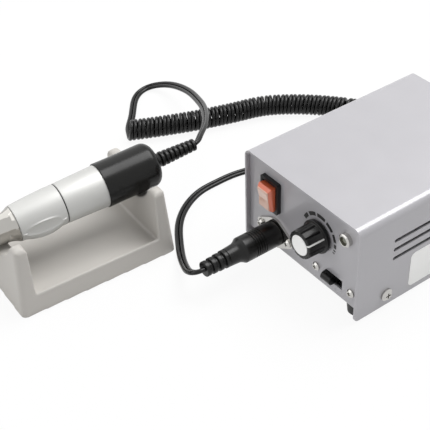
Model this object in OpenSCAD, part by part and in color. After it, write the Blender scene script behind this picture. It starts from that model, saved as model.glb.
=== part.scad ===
// Electric nail drill: a sheet-metal control box, a handpiece that lies in a
// moulded stand, and the curly cord that joins the two.
// Millimetres, +Z up, z = 0 is the table, the box's front faces -Y.

/* [Layout on the table] */
// Centre of the control box, to the right of the origin
box_x = 39; // [30:1:60]
// Front edge of the control box, behind the origin
box_y = 11.5; // [5:0.5:30]
// Centre of the stand, across
stand_x = -56.5; // [-75:0.5:-55]
// Centre of the stand, front to back
stand_y = -77; // [-85:0.5:-70]
// How far the stand is turned on the table, in degrees
stand_turn = 2.7; // [0:0.1:4]

/* [Control box] */
// Width of the sheet cover
box_w = 95; // [88:1:110]
// Depth of the sheet cover, front to back
box_d = 129; // [127:1:150]
// Height of the sheet cover
box_h = 63.5; // [61:0.5:75]
// Thickness of the sheet metal
sheet = 1.2; // [0.9:0.1:1.4]
// Outer bend radius of the cover's long edges
bend_r = 4.5; // [3:0.5:6]
// Radius of the cover's lower corners
corner_r = 3.5; // [2:0.5:5]
// Depth of the front and back panels behind the cover's ends
recess = 2.7; // [2:0.1:3.5]
// Height of the base plate above the cover's lower edge
base_lift = 5.5; // [5:0.5:7]
// Height of the cover's lower edge above the table
table_gap = 1.5; // [1:0.1:3]
// Length of a vent slot
vent_l = 78; // [40:1:90]
// Height of a vent slot
vent_h = 2.3; // [1:0.1:3]
// Spacing of the vent slots
vent_pitch = 6.2; // [4:0.1:7]
// Height of the middle vent slot above the base plate
vent_up = 32.8; // [28:0.1:38]
// Number of vent slots on a side
vents = 3; // [1:1:5]
// Diameter of a cover screw's head
cover_screw_head = 7.6; // [6:0.1:8.4]
// Distance of the cover screws from the cover's ends
cover_screw_inset = 22.8; // [15:0.1:35]
// Diameter of a rubber foot
foot_d = 12; // [10:0.5:13]
// Distance of a foot's centre from the cover's sides
foot_side = 8; // [7.5:0.5:14]
// Distance of a foot's centre from the cover's ends
foot_end = 9.5; // [9:0.5:14]

/* [Front panel] */
// Rocker switch, in from the cover's left side
rocker_in = 21.4; // [18:0.1:25]
// Rocker switch, above the base plate
rocker_up = 37.5; // [36:0.5:40]
// Width of the rocker's bezel
rocker_w = 15; // [14.5:0.5:16]
// Height of the rocker's bezel
rocker_h = 21; // [20.5:0.5:23]
// Tilt of the rocker either way, in degrees
rocker_tilt = 6; // [4:1:7]
// Cord socket, in from the cover's left side
socket_in = 25.5; // [22:0.5:29]
// Cord socket, above the base plate
socket_up = 12; // [11.5:0.5:14]
// Spacing of the cord socket's screws
socket_screws = 24; // [22:0.5:26]
// Speed knob, in from the cover's right side
knob_in = 33.6; // [31:0.1:37]
// Speed knob, above the base plate
knob_up = 33.5; // [31:0.5:36]
// Diameter of the knob's skirt
knob_skirt_d = 20.2; // [18:0.1:21]
// Diameter of the knob's grip
knob_d = 17.6; // [16.5:0.1:18]
// Length of the knob
knob_l = 13; // [12:0.5:18]
// Number of flutes round the knob
knob_flutes = 12; // [8:1:18]
// Pointer of the knob at rest, degrees clockwise from straight up
knob_pointer = 63; // [0:1:150]
// Pilot lamp, in from the cover's right side
lamp_in = 12; // [9.5:0.5:14]
// Pilot lamp, below the front panel's top edge
lamp_down = 11.7; // [9:0.1:15]
// Diameter of the pilot lamp's bezel
lamp_d = 8; // [7:0.5:9]
// Slide switch, in from the cover's right side
slide_in = 20.5; // [20.5:0.5:23.5]
// Slide switch, above the base plate
slide_up = 10.5; // [10:0.5:13]
// Spacing of the slide switch's screws
slide_screws = 28; // [27:0.5:29]
// Width of the slide switch's slot
slide_slot = 13.5; // [12:0.5:15]
// Width of the slide switch's lever
lever_w = 7; // [6:0.5:8]

/* [Stand] */
// Width of the stand on the table
stand_w = 60; // [58:1:68]
// Length of the stand on the table
stand_l = 100; // [98:1:110]
// Height of the stand's horns
stand_h = 44.8; // [43:0.1:46]
// Slope of the stand's long sides, in degrees
side_draft = 3.3; // [2.5:0.1:5]
// Slope of the stand's ends, in degrees
end_draft = 4; // [2:0.5:5]
// Clear length between the stand's end walls
stand_span = 79.3; // [76:0.1:80]
// Height of the low side lips
lip_h = 13; // [12:0.5:16]
// Height of the tray's floor
tray_h = 10.5; // [8:0.5:11]
// Wall thickness of the moulded stand
stand_wall = 2.2; // [1.8:0.1:3]
// Radius of the notches that hold the handpiece
notch_r = 20.5; // [19:0.5:21]
// Height of the bottom of the notches
notch_h = 29.85; // [28:0.05:31]

/* [Handpiece] */
// Middle of the black sleeve, behind the stand's centre
hand_v = 38; // [36:0.5:39]
// How far the handpiece lies askew in the stand, in degrees
hand_skew = 2; // [0:0.1:2]
// Rise of the handpiece towards its rear, in degrees
hand_tilt = 3.4; // [3.1:0.1:3.6]
// Largest diameter of the black rear sleeve
sleeve_d = 27.2; // [26:0.1:28]
// Length of the black rear sleeve
sleeve_l = 35.8; // [34:0.1:40]
// Diameter of the metal barrel where the black sleeve starts
barrel_rear_d = 25.6; // [25:0.1:26.2]
// Diameter of the metal barrel at the seam
seam_d = 24.2; // [23.4:0.1:24.8]
// Length of the rear barrel in view
barrel_l = 25.5; // [22:0.5:30]
// Length of the turning front sleeve
front_l = 28; // [24:0.5:32]
// Diameter of the front sleeve at the nose
nose_d = 21.4; // [20.4:0.1:22]
// Length of the bright nose
nose_l = 31; // [29:0.5:34]
// Diameter of the collet's bore, for a standard bit shank
shank_d = 2.36; // [2.3:0.01:3.2]
// Length of the ribbed strain relief behind the black sleeve
relief_l = 27.5; // [24:0.5:32]
// Number of ribs on the handpiece's strain relief
relief_ribs = 8; // [5:1:9]

/* [Cord and plug] */
// Width of the flat twin cord
cord_w = 4.8; // [4.2:0.1:4.8]
// Thickness of the cord
cord_t = 2.5; // [2.2:0.1:2.6]
// Outer diameter of the curly stretch
curl_d = 14.2; // [13:0.1:14.5]
// Spacing of the curls where they lie close
close_pitch = 5.6; // [5.55:0.01:5.62]
// Spacing of the curls round the bend behind the box
open_pitch = 7.9; // [7.8:0.1:8]
// Curls that lie close
close_curls = 27; // [24:1:27]
// Curls round the bend
open_curls = 9; // [8:1:9]
// Diameter of the plug's grip
plug_d = 15.6; // [15:0.1:16]
// Length of the plug's grip
plug_grip = 25; // [22:0.5:27]
// Length of the shoulder behind the plug's grip
plug_shoulder = 3; // [2:0.5:5]
// Length of the plain neck behind the shoulder
plug_neck = 6.5; // [4:0.5:8]
// Length of the plug's ribbed relief
plug_relief = 15.5; // [12:0.5:18]
// Number of ribs on the plug's relief
plug_ribs = 4; // [3:1:6]

/* [Hidden] */
$fn = 48;

// Clearances: a loose gap between moving pieces, a fitted gap between fixed
// ones, and a running gap round a shaft
loose = 0.3;
fitted = 0.1;
running = 0.04;
// Length by which a cutting shape passes through a wall
through = 1;

// Box levels and planes
base_z = table_gap + base_lift;
floor_z = base_z + sheet;
panel_y = box_y + recess;
back_y = box_y + box_d - recess;
inner_w = box_w - 2 * sheet - 2 * fitted;
panel_h = table_gap + box_h - sheet - fitted - base_z;
flange_h = 9;
rocker_x = rocker_in - box_w / 2;
socket_x = socket_in - box_w / 2;
knob_x = box_w / 2 - knob_in;
lamp_x = box_w / 2 - lamp_in;
lamp_up = panel_h - lamp_down;
slide_x = box_w / 2 - slide_in;

// Screws: thread, head and nut of the larger and the smaller size
screw_d = 2.9;
screw_head_d = 5.6;
screw_head_h = 2;
screw_nut = 5.5;
screw_nut_h = 2.4;
fine_d = 2.5;
fine_head_d = 5.2;
fine_head_h = 1.8;
fine_nut = 5;
fine_nut_h = 2;
screw_tail = 0.6;
cover_screw_up = 2.8;
cover_screw_h = 2.2;
cover_screw_l = 2 * sheet + 2.5;
// Length of a cutter that goes through one sheet
sheet_cut = 4 * sheet;

// Solid outline with its open side on the x axis and two rounded far corners
module round_top(w, h, r) {
    translate([-w / 2, 0]) square([w, h - r]);
    translate([-w / 2 + r, 0]) square([w - 2 * r, h]);
    for (s = [-1, 1]) translate([s * (w / 2 - r), h - r]) circle(r);
}

// Strip of sheet bent into a U that opens towards the x axis
module bent_u(w, h, t, r) {
    difference() {
        round_top(w, h, r);
        translate([0, -through]) round_top(w - 2 * t, h - t + through, r - t);
    }
}

module round_rect(w, h, r) {
    square([w - 2 * r, h], center = true);
    square([w, h - 2 * r], center = true);
    for (x = [-1, 1], y = [-1, 1]) translate([x * (w / 2 - r), y * (h / 2 - r)]) circle(r);
}

module round_slot(l, h) {
    square([l - h, h], center = true);
    for (s = [-1, 1]) translate([s * (l - h) / 2, 0]) circle(h / 2);
}

module ring(outer, inner, h) {
    difference() {
        cylinder(r = outer, h = h);
        translate([0, 0, -through]) cylinder(r = inner, h = h + 2 * through);
    }
}

// Pan-head screw whose head sits on z = 0, with a cross recess in the head
module pan_screw(shank, head, head_h, l) {
    recess_w = shank * 0.3;
    rim_h = head_h * 0.5;
    difference() {
        union() {
            cylinder(d = head, h = rim_h);
            translate([0, 0, rim_h]) cylinder(d1 = head, d2 = head * 0.66, h = head_h - rim_h);
            translate([0, 0, -l]) cylinder(d = shank, h = l);
        }
        for (a = [0, 90]) rotate(a)
            translate([-head * 0.25, -recess_w / 2, head_h * 0.5]) cube([head * 0.5, recess_w, head_h]);
    }
}

// The same screws with their nuts, through sheets of that total thickness
module bolted(grip) {
    pan_screw(screw_d, screw_head_d, screw_head_h, grip + screw_nut_h + screw_tail);
    translate([0, 0, -grip - screw_nut_h]) hexagon(screw_nut, screw_nut_h);
}

module fine_bolted(grip) {
    pan_screw(fine_d, fine_head_d, fine_head_h, grip + fine_nut_h + screw_tail);
    translate([0, 0, -grip - fine_nut_h]) hexagon(fine_nut, fine_nut_h);
}

module hexagon(across, h) cylinder(d = across / cos(30), h = h, $fn = 6);

module hex_nut(across, bore, h) {
    difference() {
        hexagon(across, h);
        translate([0, 0, -through]) cylinder(r = bore, h = h + 2 * through);
    }
}

// Frames: local z points out of the front panel, or out of the back panel
module on_panel(x, up, out = 0)
    translate([box_x + x, panel_y - out, base_z + up]) rotate([90, 0, 0]) children();

module on_back(x, up) translate([box_x + x, back_y, base_z + up]) rotate([90, 0, 180]) children();
module on_floor(x, y) translate([box_x + x, box_y + y, floor_z]) children();

// Cover: one sheet bent over the top and both sides
module cover_screw_places() {
    for (s = [-1, 1], y = [cover_screw_inset, box_d - cover_screw_inset])
        translate([box_x + s * box_w / 2, box_y + y, base_z + cover_screw_up])
            rotate([0, s * 90, 0]) children();
}

module side_vents() {
    for (s = [-1, 1], i = [0 : vents - 1])
        translate([box_x + s * box_w / 2, box_y + box_d / 2,
                   base_z + vent_up + (i - (vents - 1) / 2) * vent_pitch])
            rotate([0, 90, 0]) rotate([0, 0, 90])
                linear_extrude(sheet_cut, center = true) round_slot(vent_l, vent_h);
}

module lower_corner_cut() {
    for (end = [0, 1])
        translate([box_x, box_y + end * box_d, table_gap]) mirror([0, end, 0])
            rotate([90, 0, 90]) linear_extrude(box_w + 2 * through, center = true)
                difference() {
                    translate([-through, -through]) square(corner_r + through);
                    translate([corner_r, corner_r]) circle(corner_r);
                }
}

module cover() color("#c9c7cc") difference() {
    translate([box_x, box_y + box_d, table_gap]) rotate([90, 0, 0])
        linear_extrude(box_d) bent_u(box_w, box_h, sheet, bend_r);
    side_vents();
    lower_corner_cut();
    cover_screw_places() cylinder(d = screw_d + 4 * fitted, h = sheet_cut, center = true);
}

module cover_screws() color("silver")
    cover_screw_places() pan_screw(screw_d, cover_screw_head, cover_screw_h, cover_screw_l);

// Chassis: base, front panel and back panel bent from one sheet, with side flanges
panel_bend = 2;
foot_places = [for (x = [-1, 1], y = [foot_end, box_d - foot_end]) [x * (box_w / 2 - foot_side), y]];

module chassis() color("#c9c7cc") difference() {
    union() {
        intersection() {
            translate([box_x, (panel_y + back_y) / 2, base_z + panel_h + through])
                rotate([90, 0, 90]) linear_extrude(box_w, center = true)
                    mirror([0, 1]) bent_u(back_y - panel_y, panel_h + through, sheet, panel_bend);
            translate([box_x, back_y + through, base_z]) rotate([90, 0, 0])
                linear_extrude(box_d) round_top(inner_w, panel_h, bend_r - sheet);
        }
        for (s = [-1, 1])
            translate([box_x + s * (inner_w - sheet) / 2 - sheet / 2, panel_y + 2 * panel_bend, base_z])
                cube([sheet, back_y - panel_y - 4 * panel_bend, sheet + flange_h]);
    }
    cover_screw_places() cylinder(d = screw_d + fitted, h = 2 * sheet_cut, center = true);
    panel_cuts();
    for (p = foot_places) on_floor(p[0], p[1]) screw_hole();
    for (s = [-1, 1]) on_floor(s * strap_foot_x, core_y) screw_hole();
}

module screw_hole() cylinder(d = screw_d + 2 * fitted, h = sheet_cut, center = true);
module fine_holes(spacing) {
    for (s = [-1, 1]) translate([s * spacing / 2, 0])
        cylinder(d = fine_d + 2 * fitted, h = sheet_cut, center = true);
}
module panel_hole(r) cylinder(r = r + fitted, h = sheet_cut, center = true);

module panel_cuts() {
    on_panel(rocker_x, rocker_up) linear_extrude(sheet_cut, center = true)
        square([rocker_body_w + 2 * fitted, rocker_body_h + 2 * fitted], center = true);
    on_panel(socket_x, socket_up) {
        panel_hole(socket_r);
        fine_holes(socket_screws);
    }
    on_panel(knob_x, knob_up) panel_hole(bushing_r);
    on_panel(lamp_x, lamp_up) panel_hole(lamp_barrel_r);
    on_panel(slide_x, slide_up) {
        linear_extrude(sheet_cut, center = true) square([slide_slot, slot_h], center = true);
        fine_holes(slide_screws);
    }
    on_back(gland_x, gland_up) panel_hole(gland_r);
    on_back(fuse_x, fuse_up) panel_hole(fuse_r);
}

// Feet: rubber, screwed through the base plate
foot_taper = 1.6;
foot_pocket = 3.5;
foot_pocket_r = screw_head_d / 2 + 0.4;

module foot_spots() {
    for (p = foot_places) translate([box_x + p[0], box_y + p[1], 0]) children();
}

module feet() color("#1c1c1c") foot_spots() difference() {
    cylinder(d1 = foot_d - foot_taper, d2 = foot_d, h = base_z);
    translate([0, 0, -through]) cylinder(r = foot_pocket_r, h = foot_pocket + through);
    cylinder(d = screw_d + 2 * fitted, h = base_z + through);
}

module foot_screws() color("silver") foot_spots()
    translate([0, 0, foot_pocket]) rotate([180, 0, 0]) bolted(floor_z - foot_pocket);

// Rocker switch: bezel and body in one moulding, cap on two side pins
rocker_rim = 0.8;
rocker_body_w = rocker_w - 2 * rocker_rim;
rocker_body_h = rocker_h - 2 * rocker_rim;
rocker_bezel = 2.6;
rocker_depth = 14;
rocker_wall = 1;
rocker_end_wall = 1.2;
rocker_pin_r = 0.9;
rocker_play = 0.2;
rocker_rise = 4.4;
rocker_valley = 0.5;
rocker_keel = 3;
rocker_taper = 1.7;
rocker_low = -0.5;
rocker_bevel = 2;
rocker_bevel_depth = 2.5;
rocker_side_bevel = 1.2;
terminal = [4.8, 0.8, 8];
terminal_pitch = 6;

module rocker_housing() color("#151515") on_panel(rocker_x, rocker_up) difference() {
    union() {
        linear_extrude(rocker_bezel) round_rect(rocker_w, rocker_h, 1);
        translate([0, 0, -rocker_depth]) linear_extrude(rocker_depth)
            square([rocker_body_w, rocker_body_h], center = true);
    }
    translate([0, 0, -rocker_depth / 2]) linear_extrude(rocker_depth)
        square([rocker_body_w - 2 * rocker_wall, rocker_body_h - 2 * rocker_end_wall], center = true);
    rotate([0, 90, 0])
        cylinder(r = rocker_pin_r + running, h = rocker_body_w - 2 * rocker_play, center = true);
}

// Side outline of the rocker: a bevelled block with a shallow valley across its face
module rocker_profile() {
    end = rocker_body_h / 2 - rocker_end_wall - rocker_play;
    low_end = end - rocker_taper;
    face_end = end - rocker_bevel;
    tip = rocker_bezel + rocker_rise;
    polygon([
        [-face_end, tip], [0, tip - rocker_valley], [face_end, tip], [end, tip - rocker_bevel_depth],
        [low_end, rocker_low], [rocker_keel, -rocker_keel], [-rocker_keel, -rocker_keel],
        [-low_end, rocker_low], [-end, tip - rocker_bevel_depth]
    ]);
}

// Front outline of the rocker, seen along its length: its sides are bevelled too
module rocker_section(half) {
    tip = rocker_bezel + rocker_rise;
    polygon([
        [-half, -rocker_keel], [half, -rocker_keel], [half, tip - rocker_bevel_depth],
        [half - rocker_side_bevel, tip], [rocker_side_bevel - half, tip], [-half, tip - rocker_bevel_depth]
    ]);
}

module power_rocker() color("#e8552a") on_panel(rocker_x, rocker_up) rotate([rocker_tilt, 0, 0]) {
    rocker_len = rocker_body_w - 2 * rocker_wall - 2 * loose;
    intersection() {
        translate([-rocker_len / 2, 0, 0]) rotate([90, 0, 90]) linear_extrude(rocker_len) rocker_profile();
        rotate([90, 0, 0]) linear_extrude(rocker_h, center = true) rocker_section(rocker_len / 2);
    }
    rotate([0, 90, 0]) cylinder(r = rocker_pin_r, h = rocker_body_w - 4 * rocker_play, center = true);
}

module rocker_terminals() color("goldenrod") on_panel(rocker_x, rocker_up)
    for (i = [-1 : 1]) translate([0, i * terminal_pitch, -rocker_depth - terminal[2] / 2])
        cube(terminal, center = true);

// Cord socket: flanged metal ring with an insulating insert, held by two screws
socket_r = 7.8;
socket_cup_r = 7;
socket_flange = 1.5;
socket_flange_r = 9.8;
socket_ear_r = 3.6;
socket_depth = 10;
insert_face = 5;
pin_ring_r = 3.6;
pin_r = 0.7;
pin_places = [for (a = [-140, -90, -40, 90]) pin_ring_r * [cos(a), sin(a)]];

module cord_socket() color("#c8c8c8") on_panel(socket_x, socket_up) difference() {
    union() {
        linear_extrude(socket_flange) hull() {
            circle(r = socket_flange_r);
            for (s = [-1, 1]) translate([s * socket_screws / 2, 0]) circle(r = socket_ear_r);
        }
        translate([0, 0, -socket_depth]) cylinder(r = socket_r, h = socket_depth + socket_flange);
    }
    translate([0, 0, -socket_depth - through])
        cylinder(r = socket_cup_r, h = socket_depth + socket_flange + 2 * through);
    fine_holes(socket_screws);
}

module socket_insert() color("#161616") on_panel(socket_x, socket_up, -socket_depth) difference() {
    cylinder(r = socket_cup_r - running, h = socket_depth - insert_face);
    for (p = pin_places) translate([p[0], p[1], -through]) cylinder(r = pin_r + fitted, h = socket_depth);
}

module socket_screw_set() color("silver") on_panel(socket_x, socket_up)
    for (s = [-1, 1]) translate([s * socket_screws / 2, 0, socket_flange])
        fine_bolted(socket_flange + sheet);

// Speed control: potentiometer behind the panel, knob and cap on its shaft
bushing_r = 3.5;
bushing_l = 5.5;
shaft_r = 3;
shaft_in = 2;
pot_depth = 9;
pot_r = 8.2;
pot_lug = [1.2, 8, 0.8];
pot_lug_pitch = 5;
pot_nut_across = 10;
pot_nut_h = 2;
knob_gap = 0.8;
knob_draft = 0.4;
knob_edge = 0.6;
skirt_h = 2.4;
skirt_edge = 0.8;
flute_r = 1;
flute_depth = 0.65;
flute_up = 0.2;
cap_r = 6.1;
cap_sink = 0.8;
cap_h = 1.3;
cap_edge = 0.3;
// Thickness of the knob between the shaft's end and the cap
shaft_roof = 1.5;

module speed_pot() color("#8c8f93") on_panel(knob_x, knob_up) difference() {
    union() {
        translate([0, 0, -sheet - pot_depth]) cylinder(r = pot_r, h = pot_depth);
        translate([0, 0, -sheet]) cylinder(r = bushing_r, h = sheet + bushing_l);
        for (i = [-1 : 1])
            translate([i * pot_lug_pitch - pot_lug[0] / 2, -pot_r - pot_lug[1] / 2, -sheet - pot_depth / 2])
                cube(pot_lug);
    }
    translate([0, 0, -sheet - pot_depth + shaft_in])
        cylinder(r = shaft_r + running, h = pot_depth + sheet + bushing_l);
}

module pot_nut() color("silver") on_panel(knob_x, knob_up)
    hex_nut(pot_nut_across, bushing_r + running, pot_nut_h);

module pot_shaft() color("#b8b8ba") on_panel(knob_x, knob_up) {
    back = -sheet - pot_depth + shaft_in + fitted;
    front = knob_gap + knob_l - cap_sink - shaft_roof - fitted;
    translate([0, 0, back]) cylinder(r = shaft_r, h = front - back);
}

module speed_knob() color("#181818") on_panel(knob_x, knob_up) rotate(-knob_pointer) difference() {
    front = knob_gap + knob_l;
    base_r = knob_d / 2;
    skirt_r = knob_skirt_d / 2;
    rotate_extrude() polygon([
        [0, knob_gap], [skirt_r, knob_gap], [skirt_r, knob_gap + skirt_h - skirt_edge],
        [skirt_r - skirt_edge, knob_gap + skirt_h], [base_r, knob_gap + skirt_h],
        [base_r - knob_draft, front - knob_edge], [base_r - knob_draft - knob_edge, front], [0, front]
    ]);
    for (i = [1 : knob_flutes - 1]) rotate(90 + i * 360 / knob_flutes)
        translate([base_r + flute_r - flute_depth, 0, knob_gap + skirt_h + flute_up])
            cylinder(r = flute_r, h = knob_l);
    translate([0, 0, front - cap_sink]) cylinder(r = cap_r + running, h = cap_sink + through);
    cylinder(r = pot_nut_across / 2 / cos(30) + 1, h = pot_nut_h + 2 * loose);
    cylinder(r = bushing_r + 2 * loose, h = bushing_l + 2 * loose);
    cylinder(r = shaft_r + running, h = front - cap_sink - shaft_roof);
}

module knob_cap() color("#e6e6e6") on_panel(knob_x, knob_up)
    translate([0, 0, knob_gap + knob_l - cap_sink]) rotate_extrude()
        polygon([[0, 0], [cap_r, 0], [cap_r, cap_h - cap_edge], [cap_r - cap_edge, cap_h], [0, cap_h]]);

// Pilot lamp: bright bezel through the panel, lens inside, nut behind
lamp_proud = 3;
lamp_depth = 9;
lamp_edge = 0.6;
lamp_barrel_r = lamp_d / 2 - 0.8;
lamp_nut_h = 2.4;
lens_r = lamp_barrel_r - 0.6;
lens_l = 7;
lens_dome = 1;

module lamp_bezel() color("#d8d8d8") on_panel(lamp_x, lamp_up) difference() {
    rotate_extrude() polygon([
        [0, -lamp_depth], [lamp_barrel_r, -lamp_depth], [lamp_barrel_r, 0], [lamp_d / 2, 0],
        [lamp_d / 2, lamp_proud - lamp_edge], [lamp_d / 2 - lamp_edge, lamp_proud], [0, lamp_proud]
    ]);
    translate([0, 0, -lamp_depth - through])
        cylinder(r = lens_r + running, h = lamp_depth + lamp_proud + 2 * through);
}

module lamp_lens() color("#3a3d30") on_panel(lamp_x, lamp_up, lamp_proud - 2 * lens_dome) {
    translate([0, 0, -lens_l]) cylinder(r = lens_r, h = lens_l);
    cylinder(r1 = lens_r, r2 = lens_r * 0.6, h = lens_dome);
}

module lamp_nut() color("silver") on_panel(lamp_x, lamp_up)
    translate([0, 0, -sheet - lamp_nut_h]) hex_nut(lamp_d + 1, lamp_barrel_r + running, lamp_nut_h);

// Slide switch: body with two ears behind the panel, lever in the slot
slot_h = 6.3;
slide_depth = 8.5;
slide_floor = 1.5;
slide_h = 10;
slide_wall = 3;
ear_t = 0.8;
ear_w = 3.75;
lever_foot = 0.7;
lever_proud = 4.2;
lever_h = slot_h - 2 * loose;
lever_x = -(slide_slot - lever_w) / 2 + loose;

module slide_switch() color("#9a9a9c") on_panel(slide_x, slide_up) translate([0, 0, -sheet]) difference() {
    union() {
        translate([0, 0, -ear_t]) linear_extrude(ear_t) round_rect(slide_screws + 2 * ear_w, slide_h, 2);
        translate([0, 0, -slide_depth]) linear_extrude(slide_depth)
            square([slide_slot + 2 * slide_wall, slide_h], center = true);
    }
    translate([0, 0, -slide_depth + slide_floor]) linear_extrude(slide_depth)
        square([slide_slot + 2 * lever_foot, slot_h + 2 * lever_foot], center = true);
    fine_holes(slide_screws);
}

module slide_lever() color("#141414") on_panel(slide_x, slide_up) translate([lever_x, 0, 0]) {
    inside = sheet + slide_depth - slide_floor - loose;
    crown = lever_h / 2;
    translate([0, 0, -inside]) linear_extrude(inside - sheet - loose)
        square([lever_w + 2 * lever_foot, lever_h + 2 * lever_foot], center = true);
    translate([0, 0, -inside]) linear_extrude(inside + lever_proud - crown)
        square([lever_w, lever_h], center = true);
    translate([-lever_w / 2, 0, lever_proud - crown]) rotate([0, 90, 0]) cylinder(r = crown, h = lever_w);
}

module slide_screw_set() color("silver") on_panel(slide_x, slide_up)
    for (s = [-1, 1]) translate([s * slide_screws / 2, 0, 0]) fine_bolted(sheet + ear_t);

// Back panel: gland for the mains lead, and a fuse holder with a turning cap
gland_x = box_w / 2 - 19.5;
gland_up = 15;
gland_r = 6.2;
gland_rim = 2;
gland_out = 4;
gland_in = 5;
lead_r = 3.4;
fuse_x = 11.5 - box_w / 2;
fuse_up = 38;
fuse_r = 6.1;
fuse_rim = 1.3;
fuse_rim_h = 2;
fuse_l = 30;
fuse_floor = 2;
fuse_bore = 4.8;
fuse_nut_across = 15.5;
fuse_nut_h = 3;
fuse_glass_r = 2.6;
fuse_cap_h = 6.5;
fuse_cap_in = 4;
fuse_slot = [2 * fuse_r + 4, 1.4, 1.4];

module mains_gland() color("#161616") on_back(gland_x, gland_up) difference() {
    inner = -sheet - gland_in;
    rotate_extrude() polygon([
        [0, inner], [gland_r - 1, inner], [gland_r + 0.7, -sheet - 0.6], [gland_r, -sheet], [gland_r, 0],
        [gland_r + gland_rim, 0], [gland_r + gland_rim, 1.2], [gland_r - 0.6, gland_out], [0, gland_out]
    ]);
    translate([0, 0, inner - through]) cylinder(r = lead_r, h = gland_out - inner + 2 * through);
}

module fuse_holder() color("#1a1a1a") on_back(fuse_x, fuse_up) difference() {
    union() {
        translate([0, 0, -fuse_l]) cylinder(r = fuse_r, h = fuse_l);
        cylinder(r = fuse_r + fuse_rim, h = fuse_rim_h);
    }
    translate([0, 0, -fuse_l + fuse_floor]) cylinder(r = fuse_bore, h = fuse_l + through);
}

module fuse_nut() color("#1a1a1a") on_back(fuse_x, fuse_up)
    translate([0, 0, -sheet - fuse_nut_h]) hex_nut(fuse_nut_across, fuse_r + running, fuse_nut_h);

module fuse_cap() color("#1a1a1a") on_back(fuse_x, fuse_up) difference() {
    cap_base = fuse_rim_h + loose;
    cap_top = cap_base + fuse_cap_h;
    union() {
        translate([0, 0, -fuse_cap_in])
            cylinder(r = fuse_bore - loose, h = fuse_cap_in + cap_base + through);
        translate([0, 0, cap_base]) cylinder(r1 = fuse_r + 0.4, r2 = fuse_r - 0.4, h = fuse_cap_h);
    }
    translate([-fuse_slot[0] / 2, -fuse_slot[1] / 2, cap_top - fuse_slot[2]])
        cube(fuse_slot + [0, 0, through]);
}

module fuse() color("#dfe3e6") on_back(fuse_x, fuse_up)
    translate([0, 0, -fuse_l + fuse_floor])
        cylinder(r = fuse_glass_r, h = fuse_l - fuse_floor - fuse_cap_in - loose);

// Transformer: laminated core, wound coil on its middle leg, strap and screws
core_w = 54;
core_h = 45;
core_t = 22;
core_leg = 18;
core_window = 9;
core_y = 92;
coil_corner = 4;
strap_t = 0.9;
strap_w = 18;
strap_foot = 12;
strap_foot_x = core_w / 2 + strap_foot / 2 + 0.5;

module transformer_core() color("#6a6c70") on_floor(0, core_y) difference() {
    translate([-core_w / 2, -core_t / 2, 0]) cube([core_w, core_t, core_h]);
    for (s = [-1, 1]) translate([s * (core_leg + core_window) / 2, 0, core_h / 2])
        cube([core_window, core_t + 2 * through, core_h - 2 * core_window], center = true);
}

module transformer_coil() color("#b5652a") on_floor(0, core_y) {
    coil_h = core_h - 2 * core_window - 2 * fitted;
    translate([0, 0, core_h / 2]) linear_extrude(coil_h, center = true) difference() {
        round_rect(core_leg + 2 * core_window - 2 * fitted, core_t + 2 * core_window, coil_corner);
        square([core_leg + 2 * fitted, core_t + 2 * fitted], center = true);
    }
}

module transformer_strap() color("#b9bbbd") on_floor(0, core_y) difference() {
    rotate([90, 0, 0]) linear_extrude(strap_w, center = true) {
        difference() {
            round_top(core_w + 2 * strap_t + 2 * fitted, core_h + strap_t + fitted, strap_t);
            translate([-core_w / 2 - fitted, -through])
                square([core_w + 2 * fitted, core_h + fitted + through]);
        }
        for (s = [-1, 1]) translate([s * strap_foot_x - strap_foot / 2, 0]) square([strap_foot, strap_t]);
    }
    for (s = [-1, 1]) translate([s * strap_foot_x, 0]) screw_hole();
}

module transformer_screws() color("silver")
    for (s = [-1, 1]) on_floor(s * strap_foot_x, core_y) translate([0, 0, strap_t]) bolted(strap_t + sheet);

// Circuit board on four standoffs, with its larger parts
board_w = 70;
board_d = 44;
board_t = 1.6;
board_y = 45;
board_screw_l = 6;
standoff_h = 6;
standoff_r = 2.6;
standoff_floor = 1;
standoff_inset = 4;
standoff_places = [for (x = [-1, 1], y = [-1, 1])
    [x * (board_w / 2 - standoff_inset), board_y + y * (board_d / 2 - standoff_inset)]];
board_top = standoff_h + board_t;

module circuit_board() color("#2f6b3c") on_floor(0, 0) difference() {
    translate([-board_w / 2, board_y - board_d / 2, standoff_h]) cube([board_w, board_d, board_t]);
    for (p = standoff_places) translate([p[0], p[1], standoff_h]) screw_hole();
}

module board_standoffs() color("goldenrod")
    for (p = standoff_places) on_floor(p[0], p[1]) difference() {
        cylinder(r = standoff_r, h = standoff_h);
        translate([0, 0, standoff_floor]) cylinder(d = fine_d + fitted, h = standoff_h);
    }

module board_screws() color("silver")
    for (p = standoff_places) on_floor(p[0], p[1])
        translate([0, 0, board_top]) pan_screw(fine_d, fine_head_d, fine_head_h, board_screw_l);

// Parts on the board, from its middle: two capacitors, rectifier, heat sink, transistor
module on_board(x, y) on_floor(x, board_y + y) translate([0, 0, board_top]) children();

capacitor_x = -20;
smoothing_r = 8;
smoothing_h = 26;
filter_r = 5;
filter_h = 16;
bridge = [15, 6, 12];
sink_plate = [28, 3, 26];
sink_fins = 7;
sink_fin_t = 1.6;
sink_fin_l = 8;
sink_x = 2;
sink_y = 4;
transistor = [10, 4.6, 9];
transistor_up = 4;
tab = [10, 1.2, 6];

module capacitors() color("#24324a") {
    on_board(capacitor_x, smoothing_r) cylinder(r = smoothing_r, h = smoothing_h);
    on_board(capacitor_x, -2 * filter_r) cylinder(r = filter_r, h = filter_h);
}

module rectifier() color("#1b1b1d") on_board(-bridge[1], -14) cube(bridge);

module heat_sink() color("#9ea1a5") on_board(sink_x, sink_y) {
    cube(sink_plate);
    fin_pitch = (sink_plate[0] - sink_fin_t) / (sink_fins - 1);
    for (i = [0 : sink_fins - 1]) translate([i * fin_pitch, sink_plate[1], 0])
        cube([sink_fin_t, sink_fin_l, sink_plate[2]]);
}

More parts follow.
